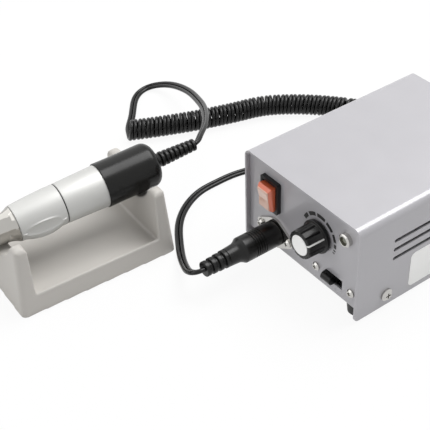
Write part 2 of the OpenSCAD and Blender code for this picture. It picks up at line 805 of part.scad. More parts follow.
module power_transistor() color("#202022")
    on_board(sink_x + (sink_plate[0] - transistor[0]) / 2, sink_y - transistor[1]) {
        translate([0, 0, transistor_up]) cube(transistor);
        translate([0, transistor[1] - tab[1], transistor_up + transistor[2]]) cube(tab);
    }

// Stand: moulded tray between two notched end walls, hollow underneath
module on_stand() translate([stand_x, stand_y, 0]) rotate(-stand_turn) children();

horn_r = 3.5;
stand_edge_r = 3;
outline_slack = 0.05;
slice = 0.01;
below = 10;

function side_in(z) = z * tan(side_draft);
function end_in(z) = z * tan(end_draft);

module stand_block(grow, z0, z1) {
    hull() for (z = [z0, z1]) translate([0, 0, z]) linear_extrude(slice)
        round_rect(stand_w + 2 * grow - 2 * side_in(z), stand_l + 2 * grow - 2 * end_in(z),
                   stand_edge_r + grow, $fn = 32);
}

module drafted(half, in_at, h) {
    low = half + in_at(below);
    high = half - in_at(h);
    polygon([[-low, -below], [low, -below], [high, h], [-high, h]]);
}

// Outline of the end walls: two horns with the handpiece's notch between them
module stand_end_outline() offset(r = horn_r) offset(delta = -horn_r) difference() {
    drafted(stand_w / 2 + outline_slack, function(z) side_in(z), stand_h);
    translate([0, notch_h + notch_r]) circle(r = notch_r, $fn = 96);
}

// Outline of the long sides: end walls with a low lip between them
module stand_side_outline() offset(r = horn_r) offset(delta = -horn_r) difference() {
    drafted(stand_l / 2 + outline_slack, function(z) end_in(z), stand_h);
    translate([-stand_span / 2, lip_h]) square([stand_span, stand_h]);
}

module stand() color("#cfccc6") on_stand() difference() {
    intersection() {
        stand_block(0, 0, stand_h);
        rotate([90, 0, 0]) linear_extrude(2 * stand_l, center = true) stand_end_outline();
        rotate([90, 0, 90]) linear_extrude(2 * stand_w, center = true) stand_side_outline();
    }
    tray_w = stand_w - 2 * side_in(lip_h) - 2 * stand_wall;
    translate([-tray_w / 2, -stand_span / 2, tray_h]) cube([tray_w, stand_span, stand_h]);
    stand_block(-stand_wall, -through, tray_h - stand_wall);
    for (s = [-1, 1]) scale([1, s, 1]) post_hollow();
}

// Space inside an end wall, open underneath
module post_hollow() {
    top = notch_h - stand_wall;
    inner = stand_span / 2 + stand_wall;
    half_w = stand_w / 2 - side_in(top) - stand_wall;
    outer = stand_l / 2 - end_in(top) - stand_wall;
    translate([-half_w, inner, -through]) cube([2 * half_w, outer - inner, top + through]);
}

// Handpiece frame: local z runs along its axis to the rear, z = 0 in the middle
// of the black sleeve, which rests on the rear notch
sleeve_r = sleeve_d / 2;
hand_z = notch_h + loose + sleeve_r / cos(hand_tilt) - (stand_span / 2 - hand_v) * tan(hand_tilt);
hand_turn = stand_turn + hand_skew;
hand_pos = [stand_x + hand_v * sin(stand_turn), stand_y + hand_v * cos(stand_turn), hand_z];
hand_axis = [sin(hand_turn) * cos(hand_tilt), cos(hand_turn) * cos(hand_tilt), sin(hand_tilt)];

module in_hand(s = 0)
    translate(hand_pos) rotate([hand_tilt - 90, 0, -hand_turn]) translate([0, 0, s]) children();

// Stations along the handpiece
sleeve_front = -sleeve_l / 2;
sleeve_rear = sleeve_l / 2;
seam_s = sleeve_front - barrel_l;
seam_w = 0.6;
nose_s = seam_s - seam_w - front_l;
tip_s = nose_s - nose_l;
motor_front = seam_s + 9.5;
motor_l = 40;
motor_rear = motor_front + motor_l;
relief_end = sleeve_rear + relief_l;

// Radii and lengths inside the handpiece
can_r = 9.6;
can_wall = 0.7;
bell_l = 4;
spigot_r = 8.1;
spigot_in = 6;
barrel_spigot_r = 11.4;
cavity_r = 5.5;
spindle_r = 2.5;
bearing_w = 4;
edge = 0.3;

// Black rear sleeve, rounded at its rear, over the barrel's spigot
sleeve_dome = 5.5;
motor_room = 4.5;

module motor_sleeve() color("#1b1b1b") in_hand() difference() {
    rotate_extrude() polygon([
        [0, sleeve_front], [sleeve_r - edge, sleeve_front], [sleeve_r, sleeve_front + edge],
        for (a = [0 : 15 : 75])
            [sleeve_r - sleeve_dome * (1 - cos(a)), sleeve_rear - sleeve_dome * (1 - sin(a))],
        [sleeve_r - sleeve_dome, sleeve_rear], [0, sleeve_rear]
    ]);
    translate([0, 0, sleeve_front - through])
        cylinder(r = barrel_spigot_r + fitted, h = motor_rear + motor_room - sleeve_front + through);
    cylinder(r = relief_neck_r + fitted, h = sleeve_rear + through);
}

module rear_barrel() color("#c9c9c6") in_hand() difference() {
    rotate_extrude() polygon([
        [0, seam_s], [seam_d / 2 - edge, seam_s], [seam_d / 2, seam_s + edge],
        [barrel_rear_d / 2, sleeve_front], [barrel_spigot_r, sleeve_front],
        [barrel_spigot_r, motor_rear], [0, motor_rear]
    ]);
    translate([0, 0, motor_front]) cylinder(r = can_r + fitted, h = motor_l + through);
    translate([0, 0, seam_s - through]) cylinder(r = spigot_r + running, h = spigot_in + through);
    translate([0, 0, seam_s]) cylinder(r = cavity_r, h = motor_l);
}

// Dark ring in the seam, which the front sleeve turns against
seam_play = 0.05;
seam_depth = 0.5;

module seam_ring() color("#202020") in_hand(seam_s - seam_w + seam_play)
    ring(seam_d / 2 - seam_depth, spigot_r + running, seam_w - seam_play);

// Front sleeve: turns a part of a turn on the nose to lock or free the collet
nose_play = 0.25;
front_steps = 8;

module front_sleeve() color("#cfcfcc") in_hand() difference() {
    rear = seam_s - seam_w;
    front = nose_s + nose_play;
    front_r = nose_d / 2;
    swell = seam_d / 2 - front_r;
    rotate_extrude() polygon([
        [0, front], [front_r - edge, front],
        for (i = [0 : front_steps]) let (t = i / front_steps)
            [front_r + swell * sin(90 * t), front + edge + (front_l - nose_play - 2 * edge) * t],
        [seam_d / 2 - edge, rear], [0, rear]
    ]);
    translate([0, 0, nose_s]) cylinder(r = spigot_r + running, h = front_l + through);
}

// Nose: bright cone with a long spigot that carries the front sleeve
tip_r = 4.6;
front_bearing_r = 3.9;
front_bearing_in = 5;

module nose_cone() color("#dcdcdc") in_hand() difference() {
    shoulder = nose_d / 2 - 0.2;
    spigot_end = seam_s + spigot_in - fitted;
    rotate_extrude() polygon([
        [0, tip_s], [tip_r - edge, tip_s], [tip_r, tip_s + edge], [tip_r + 0.8, tip_s + 0.27 * nose_l],
        [shoulder * 0.762, nose_s - 0.44 * nose_l], [shoulder * 0.814, nose_s - 0.18 * nose_l],
        [shoulder, nose_s - edge], [shoulder, nose_s], [spigot_r, nose_s],
        [spigot_r, spigot_end], [0, spigot_end]
    ]);
    translate([0, 0, tip_s - through]) cylinder(r = spindle_r + loose, h = nose_l);
    translate([0, 0, tip_s + front_bearing_in]) cylinder(r = front_bearing_r, h = nose_l);
    translate([0, 0, nose_s]) cylinder(r = cavity_r, h = spigot_end - nose_s + through);
}

module front_bearing() color("#aeb0b4") in_hand(tip_s + front_bearing_in)
    ring(front_bearing_r - running, spindle_r + running, bearing_w);

module rear_bearing() color("#aeb0b4") in_hand(seam_s - bearing_w)
    ring(cavity_r - running, spindle_r + running, bearing_w);

// Spindle with the collet on its front end, where a bit's shank goes in
spindle_out = 0.4;
spindle_rear = 1;
shank_room = 0.5;
shank_l = 15;
collet_l = 4.6;
collet_rim = 0.7;
collet_cone = 1.6;
collet_slit = 0.4;
collet_slit_l = 1.2;

module spindle() color("#b4b6ba") in_hand(tip_s - spindle_out) difference() {
    cylinder(r = spindle_r, h = seam_s + spindle_rear - tip_s + spindle_out);
    translate([0, 0, -through]) cylinder(r = shank_d / 2 + shank_room, h = shank_l + through);
}

module collet() color("#e0e0e0") in_hand(tip_s - spindle_out - collet_l) difference() {
    rim = spindle_r + collet_rim;
    rotate_extrude() polygon([
        [0, 0], [spindle_r - collet_rim, 0], [rim, collet_cone],
        [rim, collet_l - edge], [rim - edge, collet_l], [0, collet_l]
    ]);
    translate([0, 0, -through]) cylinder(d = shank_d, h = collet_l + 2 * through);
    for (a = [0, 120, 240]) rotate(a) translate([shank_d / 2 + edge, -collet_slit / 2, -through])
        cube([rim, collet_slit, through + collet_slit_l]);
}

module coupling() color("#3a3a3c") in_hand(seam_s + spindle_rear)
    cylinder(r = cavity_r - 1.2, h = motor_front - seam_s - 2 * spindle_rear);

// Motor: can, two magnets, end bell, and the rotor on its shaft
motor_shaft_r = 1.5;
magnet_r = 7;
magnet_l = 26;
magnet_split = 2;
rotor_l = 24;
commutator_r = 3.2;
commutator_l = 5;
lug = [2, 0.6, 3.5];
lug_x = 5;

module motor_can() color("#9da0a4") in_hand(motor_front) difference() {
    cylinder(r = can_r, h = motor_l - bell_l);
    translate([0, 0, through]) cylinder(r = can_r - can_wall, h = motor_l);
    translate([0, 0, -through]) cylinder(r = motor_shaft_r + running, h = 3 * through);
}

module motor_magnets() color("#4a4a4e") in_hand(motor_front + bell_l) difference() {
    ring(can_r - can_wall - running, magnet_r, magnet_l);
    translate([-magnet_split / 2, -can_r, -through])
        cube([magnet_split, 2 * can_r, magnet_l + 2 * through]);
}

module motor_end_bell() color("#2a2a2a") in_hand(motor_rear) difference() {
    union() {
        translate([0, 0, -bell_l]) cylinder(r = can_r, h = bell_l);
        for (s = [-1, 1]) translate([s * lug_x - lug[0] / 2, -lug[1] / 2, 0]) cube(lug);
    }
    translate([0, 0, -bell_l - through]) cylinder(r = motor_shaft_r + running, h = bell_l);
}

module rotor() color("#7d5a34") in_hand(motor_front) {
    translate([0, 0, -spindle_rear]) cylinder(r = motor_shaft_r, h = motor_l - spindle_rear);
    translate([0, 0, bell_l + spindle_rear]) cylinder(r = magnet_r - loose, h = rotor_l);
    translate([0, 0, bell_l + spindle_rear + rotor_l]) cylinder(r = commutator_r, h = commutator_l);
}

// Strain relief: neck through the sleeve's rear wall, cone, ribs
relief_neck_r = 3.2;
relief_cone = 4;
relief_cone_r = 5.4;
relief_first_r = 4.6;
relief_last_r = 3.7;

// Ribs with gaps between them round a thinner core, the last rib at the far end
module ribbed(from, to, first_r, last_r, ribs) {
    gap = 0.38;
    waist = 0.68;
    pitch = (to - from) / (ribs - gap);
    rotate_extrude() polygon([
        [0, from],
        for (i = [0 : ribs - 1])
            let (r = first_r + (last_r - first_r) * i / (ribs - 1), low = from + i * pitch)
            for (p = [[waist, 0], [1, 0], [1, 1 - gap], [waist, 1 - gap]]) [r * p[0], low + pitch * p[1]],
        [0, to]
    ]);
}

module strain_relief() color("#191919") in_hand() {
    neck_s = motor_rear + motor_room + 2 * fitted;
    translate([0, 0, neck_s]) cylinder(r = relief_neck_r, h = sleeve_rear - neck_s);
    translate([0, 0, sleeve_rear]) cylinder(r1 = relief_cone_r, r2 = relief_last_r, h = relief_cone);
    ribbed(sleeve_rear + relief_cone, relief_end, relief_first_r, relief_last_r, relief_ribs);
}

// Plug: grip, shoulder, neck and ribbed relief moulded in one, metal shell and pins
plug_front = socket_flange + loose;
plug_grip_end = plug_front + plug_grip;
plug_neck_s = plug_grip_end + plug_shoulder;
plug_relief_s = plug_neck_s + plug_neck;
plug_end = plug_relief_s + plug_relief;
plug_neck_r = 5.8;
plug_first_r = 5.4;
plug_last_r = 4.6;
grip_rings = 5;
grip_ring_s = 11;
grip_ring_pitch = 1.6;
grip_ring_w = 0.8;
grip_ring_depth = 0.45;
shell_r = 6.6;
shell_t = 0.5;
shell_in = 12;
plug_core_s = 3;
pin_out = 1.5;

module plug_body() color("#191919") on_panel(socket_x, socket_up) difference() {
    grip_r = plug_d / 2;
    union() {
        rotate_extrude() polygon([
            [0, plug_front], [grip_r - edge, plug_front], [grip_r, plug_front + edge],
            for (i = [0 : grip_rings - 1], c = [[0, 0], [1, 0], [1, 1], [0, 1]])
                [grip_r - grip_ring_depth * c[0],
                 plug_front + grip_ring_s + i * grip_ring_pitch + grip_ring_w * c[1]],
            [grip_r, plug_grip_end - edge], [plug_neck_r, plug_neck_s],
            [plug_first_r, plug_relief_s], [0, plug_relief_s]
        ]);
        ribbed(plug_relief_s, plug_end, plug_first_r, plug_last_r, plug_ribs);
    }
    translate([0, 0, plug_front - through])
        cylinder(r = shell_r + running, h = shell_in - plug_front + through);
}

module plug_shell() color("#c4c4c4") on_panel(socket_x, socket_up, loose - insert_face)
    ring(shell_r, shell_r - shell_t, shell_in + insert_face - loose);

// Pins in their insulating core
module plug_pins() color("#d0a94a") on_panel(socket_x, socket_up) {
    translate([0, 0, plug_core_s]) cylinder(r = shell_r - shell_t - running, h = shell_in - plug_core_s);
    for (p = pin_places) translate([p[0], p[1], -socket_depth + pin_out])
        cylinder(r = pin_r, h = socket_depth - pin_out + plug_core_s + pin_r);
}

// Cord: route points chosen by hand, in millimetres on the table, each tail
// from the curly stretch outwards
tail_route = [
    [-148, 18.5, 1.4], [-156, 26, 1.4], [-165, 33, 1.4], [-175, 41, 1.4], [-181, 50, 1.6], [-180, 59, 3],
    [-170, 65, 7], [-154, 65, 13], [-134, 61, 20], [-115, 54, 26.5], [-97, 46, 33], [-79, 35, 39.5],
    [-65, 24, 44], [-57, 15, 46]
];
curl_route = [
    [-137, 13], [-128.3, 31.3], [-118.8, 54], [-111, 77], [-103, 102], [-87.5, 123.8], [-66.2, 143.4],
    [-48.5, 153], [-33, 148], [-25.2, 133], [-24.5, 115]
];
plug_route = [
    [-34, 121.5, 1.4], [-40, 114, 1.4], [-45, 100, 1.4], [-50, 81, 1.4], [-55, 63, 1.4], [-59, 48.5, 1.4],
    [-60.5, 39, 1.4], [-60.5, 27, 1.4], [-60, 17, 1.4], [-57, 7, 1.4], [-51.5, -3, 1.4],
    [-44.3, -11.6, 1.4], [-36.6, -18, 1.4], [-28, -23.6, 1.4], [-18.6, -29.2, 2.6], [-9.5, -34.2, 5.6],
    [0, -38.8, 10], [8.5, -42.4, 14.4], [14.6, -42.9, 18]
];
straight = 2.5;

function unit(v) = v / norm(v);
function clamp_at(p, i) = p[max(0, min(len(p) - 1, i))];
function bend(a, b, c, d, t) =
    0.5 * (2 * b + (c - a) * t + (2 * a - 5 * b + 4 * c - d) * t * t + (3 * b - a - 3 * c + d) * t * t * t);
function smooth(p, n) = concat(
    [for (i = [0 : len(p) - 2], k = [0 : n - 1])
        bend(clamp_at(p, i - 1), p[i], p[i + 1], clamp_at(p, i + 2), k / n)],
    [p[len(p) - 1]]);

// Thickness directions along a line of points, carried on without twist from
// upright at its start
function heading(p, i) = unit(clamp_at(p, i + 1) - clamp_at(p, i - 1));
function square_to(v, t) = unit(v - (v * t) * t);
function untwisted(p) = [
    for (i = 0, n = square_to([0, 0, 1], heading(p, 0)); i < len(p);
         i = i + 1, n = square_to(n, heading(p, min(i, len(p) - 1)))) n
];

// Outline of the flat twin cord, as [thickness, width] points
cord_half = (cord_w - cord_t) / 2;
cord_outline = [for (s = [1, -1], a = [90 : -45 : -90])
    s * [cord_t / 2 * sin(a), cord_half + cord_t / 2 * cos(a)]];

// Solid cord along p, with its thickness along n at each point
module cord_along(p, n) {
    sides = len(cord_outline);
    rings = len(p);
    points = [for (i = [0 : rings - 1], c = cord_outline)
        p[i] + c[0] * n[i] + c[1] * cross(heading(p, i), n[i])];
    walls = [for (i = [0 : rings - 2], k = [0 : sides - 1])
        let (a = i * sides + k, b = i * sides + (k + 1) % sides)
        for (f = [[a, b + sides, b], [a, a + sides, b + sides]]) f];
    last = (rings - 1) * sides;
    caps = [for (k = [1 : sides - 2], f = [[0, k, k + 1], [last, last + k + 1, last + k]]) f];
    polyhedron(points, concat(walls, caps), convexity = 20);
}

// Curly stretch: a helix round the route, close at first and open round the bend
curl_r = (curl_d - cord_t) / 2;
curl_z = curl_d / 2 + 0.2;
rings_per_curl = 8;
curl_line = smooth(curl_route, 8);
curl_steps = [for (i = 0, s = 0; i < len(curl_line);
    s = s + (i + 1 < len(curl_line) ? norm(curl_line[i + 1] - curl_line[i]) : 0), i = i + 1) s];
curl_x_at = [for (i = [0 : len(curl_line) - 1]) [curl_steps[i], curl_line[i][0]]];
curl_y_at = [for (i = [0 : len(curl_line) - 1]) [curl_steps[i], curl_line[i][1]]];

function curl_middle(s) = [lookup(s, curl_x_at), lookup(s, curl_y_at), curl_z];
function curl_side(s) =
    let (t = unit(curl_middle(s + 0.5) - curl_middle(max(0, s - 0.5)))) [t[1], -t[0], 0];
function curl_run(turns) = close_pitch * min(turns, close_curls) + open_pitch * max(0, turns - close_curls);
function curl_out(turns) =
    let (a = 360 * turns - 90) cos(a) * curl_side(curl_run(turns)) + sin(a) * [0, 0, 1];
function curl_point(turns) = curl_middle(curl_run(turns)) + curl_r * curl_out(turns);

curls = close_curls + open_curls;
curl_start_side = curl_side(0);
curl_end_side = curl_side(curl_run(curls));
curl_start = curl_point(0) - straight * curl_start_side;
curl_end = curl_point(curls) + straight * curl_end_side;
curl_turns = [for (k = [0 : curls * rings_per_curl]) k / rings_per_curl];
curl_points = concat([curl_start], [for (k = curl_turns) curl_point(k)], [curl_end]);
curl_outs = concat([[0, 0, -1]], [for (k = curl_turns) curl_out(k)], [[0, 0, -1]]);
curl_normals = [for (i = [0 : len(curl_points) - 1]) square_to(curl_outs[i], heading(curl_points, i))];
relief_tip = hand_pos + relief_end * hand_axis;
plug_tip = [box_x + socket_x, panel_y - plug_end, base_z + socket_up];

module handpiece_tail() color("#1a1a1a") {
    first = curl_start - straight * curl_start_side;
    last = relief_tip + straight * hand_axis;
    line = concat([curl_start], smooth(concat([first], tail_route, [last]), 3), [relief_tip]);
    cord_along(line, untwisted(line));
}

module curly_cord() color("#1a1a1a") cord_along(curl_points, curl_normals);

module plug_tail() color("#1a1a1a") {
    first = curl_end + straight * curl_end_side;
    last = plug_tip - [0, straight, 0];
    line = concat([curl_end], smooth(concat([first], plug_route, [last]), 2), [plug_tip]);
    cord_along(line, untwisted(line));
}

cover();
cover_screws();
chassis();
feet();
foot_screws();
rocker_housing();
power_rocker();
rocker_terminals();
cord_socket();
socket_insert();
socket_screw_set();
speed_pot();
pot_nut();
pot_shaft();
speed_knob();
knob_cap();
lamp_bezel();
lamp_lens();
lamp_nut();
slide_switch();
slide_lever();
slide_screw_set();
mains_gland();
fuse_holder();
fuse_nut();
fuse_cap();
fuse();
transformer_core();
transformer_coil();
transformer_strap();
transformer_screws();
circuit_board();
board_standoffs();
board_screws();
capacitors();
rectifier();
heat_sink();
power_transistor();
stand();
nose_cone();
front_sleeve();
seam_ring();
rear_barrel();
motor_sleeve();
strain_relief();
motor_can();
motor_magnets();
motor_end_bell();
rotor();
coupling();
spindle();
collet();
front_bearing();
rear_bearing();
handpiece_tail();
curly_cord();
plug_tail();
plug_body();
plug_shell();
plug_pins();
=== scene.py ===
import math

import bmesh
import bpy
from mathutils import Matrix, Vector


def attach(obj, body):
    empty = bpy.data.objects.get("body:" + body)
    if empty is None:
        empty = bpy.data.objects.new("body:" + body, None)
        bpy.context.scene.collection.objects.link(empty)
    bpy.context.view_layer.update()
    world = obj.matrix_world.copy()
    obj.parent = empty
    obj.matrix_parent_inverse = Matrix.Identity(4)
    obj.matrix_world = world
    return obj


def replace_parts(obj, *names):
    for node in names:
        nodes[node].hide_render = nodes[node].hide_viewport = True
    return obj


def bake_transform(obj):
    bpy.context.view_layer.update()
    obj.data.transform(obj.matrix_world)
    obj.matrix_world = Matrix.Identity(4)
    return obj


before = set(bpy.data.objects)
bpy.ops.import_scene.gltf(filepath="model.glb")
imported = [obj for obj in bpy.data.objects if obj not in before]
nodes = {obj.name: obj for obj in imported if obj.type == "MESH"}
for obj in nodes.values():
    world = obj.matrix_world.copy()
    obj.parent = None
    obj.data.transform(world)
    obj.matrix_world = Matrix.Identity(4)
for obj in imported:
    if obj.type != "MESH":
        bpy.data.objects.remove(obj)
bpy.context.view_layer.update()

scene = bpy.context.scene

# Camera
# A long lens above and to the right of the box's front, turned by a hair, so that the
# handpiece's nose and the far end of the box run out of the picture.
camera_place = (0.36677, -0.27667, 0.40441)
azimuth, elevation, roll = math.radians(54.665), math.radians(39.307), math.radians(-2.139)
film_width, focal_length = 36, 86.77
flat = math.cos(elevation)
back = Vector((math.sin(azimuth) * flat, -math.cos(azimuth) * flat, math.sin(elevation)))
right = Vector((math.cos(azimuth), math.sin(azimuth), 0))
level = Matrix((right, back.cross(right), back)).transposed()
turned_camera = (level @ Matrix.Rotation(roll, 3, "Z")).to_4x4()
camera = bpy.data.objects.new("camera", bpy.data.cameras.new("camera"))
camera.matrix_world = Matrix.Translation(camera_place) @ turned_camera
camera.data.sensor_width = film_width
camera.data.lens = focal_length
scene.collection.objects.link(camera)
scene.camera = camera

# Cord
# Two insulated strands moulded side by side into one limp black cord, set in curls over its middle. One
# plain tail hangs from the handpiece to the table, the other lies on the table and climbs to the plug.
strand_r, strand_out, lead = 0.00132, 0.00128, 0.0025
hand_place, hand_turn, hand_tilt = (-0.05471, -0.0390422, 0.043676), math.radians(4.7), math.radians(3.4)
hand_frame = (Matrix.Translation(hand_place) @ Matrix.Rotation(-hand_turn, 4, "Z")
              @ Matrix.Rotation(hand_tilt - math.pi / 2, 4, "X"))
hand_axis = hand_frame.to_3x3() @ Vector((0, 0, 1))
panel_y, socket_x, socket_z = 0.0142, 0.017, 0.019
# Where the strain relief and the plug end on their own axes, in millimetres like every turned form
relief_end, plug_end = 45.4, 51.8
relief_tip = hand_frame @ Vector((0, 0, relief_end / 1000))
plug_tip = Vector((socket_x, panel_y - plug_end / 1000, socket_z))


def route(*points):
    """The points of a route, given in millimetres."""
    return [Vector(p) / 1000 for p in points]


def smooth(points, steps):
    """A smooth curve through the points, with so many steps from one to the next."""
    ends = [points[0]] + points + [points[-1]]
    line = []
    for a, b, c, d in zip(ends, ends[1:], ends[2:], ends[3:]):
        for k in range(steps):
            t = k / steps
            line.append(0.5 * (2 * b + (c - a) * t + (2 * a - 5 * b + 4 * c - d) * t * t
                               + (3 * b - a - 3 * c + d) * t ** 3))
    return line + [points[-1]]


tail_route = route(
    (-148, 18.5, 1.4), (-156, 26, 1.4), (-165, 33, 1.4), (-175, 41, 1.4), (-181, 50, 1.6), (-180, 59, 3),
    (-170, 65, 7), (-154, 65, 13), (-134, 61, 20), (-115, 54, 26.5), (-97, 46, 33), (-79, 35, 39.5),
    (-65, 24, 44), (-57, 15, 46))
curl_route = route(
    (-137, 13, 7.3), (-128.3, 31.3, 7.3), (-118.8, 54, 7.3), (-111, 77, 7.3), (-103, 102, 7.3),
    (-87.5, 123.8, 7.3), (-66.2, 143.4, 7.3), (-48.5, 153, 7.3), (-33, 148, 7.3), (-25.2, 133, 7.3),
    (-24.5, 115, 7.3))
plug_route = route(
    (-34, 121.5, 1.4), (-40, 114, 1.4), (-45, 100, 1.4), (-50, 81, 1.4), (-55, 63, 1.4), (-59, 48.5, 1.4),
    (-60.5, 39, 1.4), (-60.5, 27, 1.4), (-60, 17, 1.4), (-57, 7, 1.4), (-51.5, -3, 1.4),
    (-44.3, -11.6, 1.4), (-36.6, -18, 1.4), (-28, -23.6, 1.4), (-18.6, -29.2, 2.6), (-9.5, -34.2, 5.6),
    (0, -38.8, 10), (8.5, -42.4, 14.4), (14.6, -42.9, 18))
close_pitch, open_pitch, curl_r = 0.0056, 0.0079, 0.00585
close_curls, open_curls = 27, 9
curls, steps_per_curl = close_curls + open_curls, 20
curl_steps, tail_steps, tail_eases = 8, 6, 8
curl_line = smooth(curl_route, curl_steps)


def curl_middle(run):
    """The point so far along the line that the curls wind round."""
    for a, b in zip(curl_line, curl_line[1:]):
        step = (b - a).length
        if run <= step:
            return a.lerp(b, run / step)
        run -= step
    return curl_line[-1].copy()


def curl_side(run):
    """The level direction square to that line."""
    probe = 0.0005
    along = (curl_middle(run + probe) - curl_middle(max(0, run - probe))).normalized()
    return Vector((along.y, -along.x, 0))


def curl_run(turns):
    """How far along that line so many curls reach."""
    return close_pitch * min(turns, close_curls) + open_pitch * max(0, turns - close_curls)


def curl_out(turns):
    """The direction from that line out to the cord after so many turns, counted from the table."""
    angle = 2 * math.pi * turns - math.pi / 2
    return math.cos(angle) * curl_side(curl_run(turns)) + math.sin(angle) * Vector((0, 0, 1))


def eased(line, rounds):
    """The same line with its tight corners softened and its ends held."""
    for _ in range(rounds):
        inner = [(a + 2 * b + c) / 4 for a, b, c in zip(line, line[1:], line[2:])]
        line = [line[0]] + inner + [line[-1]]
    return line


def heading(line, i):
    """The direction in which a line runs at one of its points."""
    return (line[min(i + 1, len(line) - 1)] - line[max(i - 1, 0)]).normalized()


def carried(line, across):
    """The cord's width direction at each point, carried on without twist."""
    widths = []
    for i in range(len(line)):
        ahead = heading(line, i)
        across = (across - across.dot(ahead) * ahead).normalized()
        widths.append(across)
    return widths


curl_turns = [k / steps_per_curl for k in range(curls * steps_per_curl + 1)]
curl_path = [curl_middle(curl_run(k)) + curl_r * curl_out(k) for k in curl_turns]
curl_widths = [heading(curl_path, i).cross(curl_out(k)).normalized() for i, k in enumerate(curl_turns)]
start_side, end_side = curl_side(0), curl_side(curl_run(curls))
curl_start, curl_end = curl_path[0] - lead * start_side, curl_path[-1] + lead * end_side
tail_points = [curl_start - lead * start_side] + tail_route + [relief_tip + lead * hand_axis]
tail_path = eased([curl_start] + smooth(tail_points, tail_steps) + [relief_tip], tail_eases)
plug_points = [curl_end + lead * end_side] + plug_route + [plug_tip - Vector((0, lead, 0))]
plug_path = eased([curl_end] + smooth(plug_points, tail_steps) + [plug_tip], tail_eases)
cord_path = tail_path[::-1] + curl_path + plug_path
cord_widths = carried(tail_path, curl_widths[0])[::-1] + curl_widths + carried(plug_path, curl_widths[-1])


def grain_group():
    """A node group that puts out a fine grain as a normal and a slow drift of tone."""
    group = bpy.data.node_groups.new("moulded_grain", "ShaderNodeTree")
    for label in ("Scale", "Depth"):
        group.interface.new_socket(label, in_out="INPUT", socket_type="NodeSocketFloat")
    group.interface.new_socket("Tone", in_out="OUTPUT", socket_type="NodeSocketFloat")
    group.interface.new_socket("Normal", in_out="OUTPUT", socket_type="NodeSocketVector")
    add, link = group.nodes.new, group.links.new
    inside, outside = add("NodeGroupInput"), add("NodeGroupOutput")
    place, bump = add("ShaderNodeTexCoord"), add("ShaderNodeBump")
    fine, cloud = add("ShaderNodeTexNoise"), add("ShaderNodeTexNoise")
    fine.inputs["Detail"].default_value = 3
    cloud.inputs["Scale"].default_value = 60
    cloud.inputs["Detail"].default_value = 5
    bump.inputs["Strength"].default_value = 1
    link(place.outputs["Object"], fine.inputs["Vector"])
    link(place.outputs["Object"], cloud.inputs["Vector"])
    link(inside.outputs["Scale"], fine.inputs["Scale"])
    link(inside.outputs["Depth"], bump.inputs["Distance"])
    link(fine.outputs["Fac"], bump.inputs["Height"])
    link(cloud.outputs["Fac"], outside.inputs["Tone"])
    link(bump.outputs["Normal"], outside.inputs["Normal"])
    return group


moulded_grain = grain_group()
# A Mix node's two colours and its result share their names with its other sockets, so they go by number
mix_first, mix_second, mix_result = 6, 7, 2


def finish(name, colour, roughness, scale, depth, metallic=0.0, coat=0.0, mottle=0.06, spread=0.15,
           shine=0.5):
    """A material whose tone and gloss drift a little, with a fine grain of that scale and depth."""
    material = bpy.data.materials.new(name)
    material.use_nodes = True
    tree = material.node_tree
    shader = tree.nodes["Principled BSDF"]
    grain, tone = tree.nodes.new("ShaderNodeGroup"), tree.nodes.new("ShaderNodeMix")
    gloss = tree.nodes.new("ShaderNodeMapRange")
    grain.node_tree = moulded_grain
    grain.inputs["Scale"].default_value = scale
    grain.inputs["Depth"].default_value = depth
    tone.name = "tone"
    tone.data_type = "RGBA"
    tone.inputs[mix_first].default_value = [c * (1 - mottle) for c in colour] + [1]
    tone.inputs[mix_second].default_value = [min(1, c * (1 + mottle)) for c in colour] + [1]
    gloss.inputs["To Min"].default_value = roughness * (1 - spread)
    gloss.inputs["To Max"].default_value = roughness * (1 + spread)
    shader.inputs["Metallic"].default_value = metallic
    shader.inputs["Specular IOR Level"].default_value = shine
    shader.inputs["Coat Weight"].default_value = coat
    shader.inputs["Coat Roughness"].default_value = 0.1
    link = tree.links.new
    link(grain.outputs["Tone"], tone.inputs["Factor"])
    link(grain.outputs["Tone"], gloss.inputs["Value"])
    link(tone.outputs[mix_result], shader.inputs["Base Color"])
    link(gloss.outputs["Result"], shader.inputs["Roughness"])
    link(grain.outputs["Normal"], shader.inputs["Normal"])
    return material


cord_black = finish("cord_black", (0.004, 0.004, 0.004), 0.24, 2500, 0.00002, shine=0.3)
cord_lines = bpy.data.curves.new("cord_lines", "CURVE")
cord_lines.dimensions = "3D"
cord_lines.bevel_depth = strand_r
cord_lines.bevel_resolution = 3
cord_lines.use_fill_caps = True
for side in (-1, 1):
    strand = cord_lines.splines.new("POLY")
    strand.points.add(len(cord_path) - 1)
    for point, place, width in zip(strand.points, cord_path, cord_widths):
        point.co = (*(place + side * strand_out * width), 1)
cord_tubes = bpy.data.objects.new("cord_tubes", cord_lines)
scene.collection.objects.link(cord_tubes)
bpy.context.view_layer.update()
cord = bpy.data.objects.new("cord", bpy.data.meshes.new_from_object(cord_tubes))
bpy.data.objects.remove(cord_tubes)
scene.collection.objects.link(cord)
cord.data.materials.clear()
cord.data.materials.append(cord_black)
cord.data.shade_smooth()
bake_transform(cord)
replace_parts(cord, "handpiece_tail", "curly_cord", "plug_tail")

# Cover and chassis
# One steel sheet bent over the top and both sides, and another that makes the base and both panels,
# stove-enamelled light grey with a faint orange peel. Screws through the sides hold the two together.
box_paint = finish("box_paint", (0.42, 0.413, 0.434), 0.32, 900, 0.00002, metallic=0.15, coat=0.3,
                   mottle=0.02)


def dress(material, *names):
    """Give a material to the solids of those names."""
    for name in names:
        nodes[name].data.materials.clear()
        nodes[name].data.materials.append(material)


dress(box_paint, "cover", "chassis")
bright_nickel = finish("bright_nickel", (0.52, 0.51, 0.49), 0.16, 1500, 0.00001, metallic=1, mottle=0.1)
dress(bright_nickel, "cover_screws", "foot_screws", "transformer_screws", "board_screws")

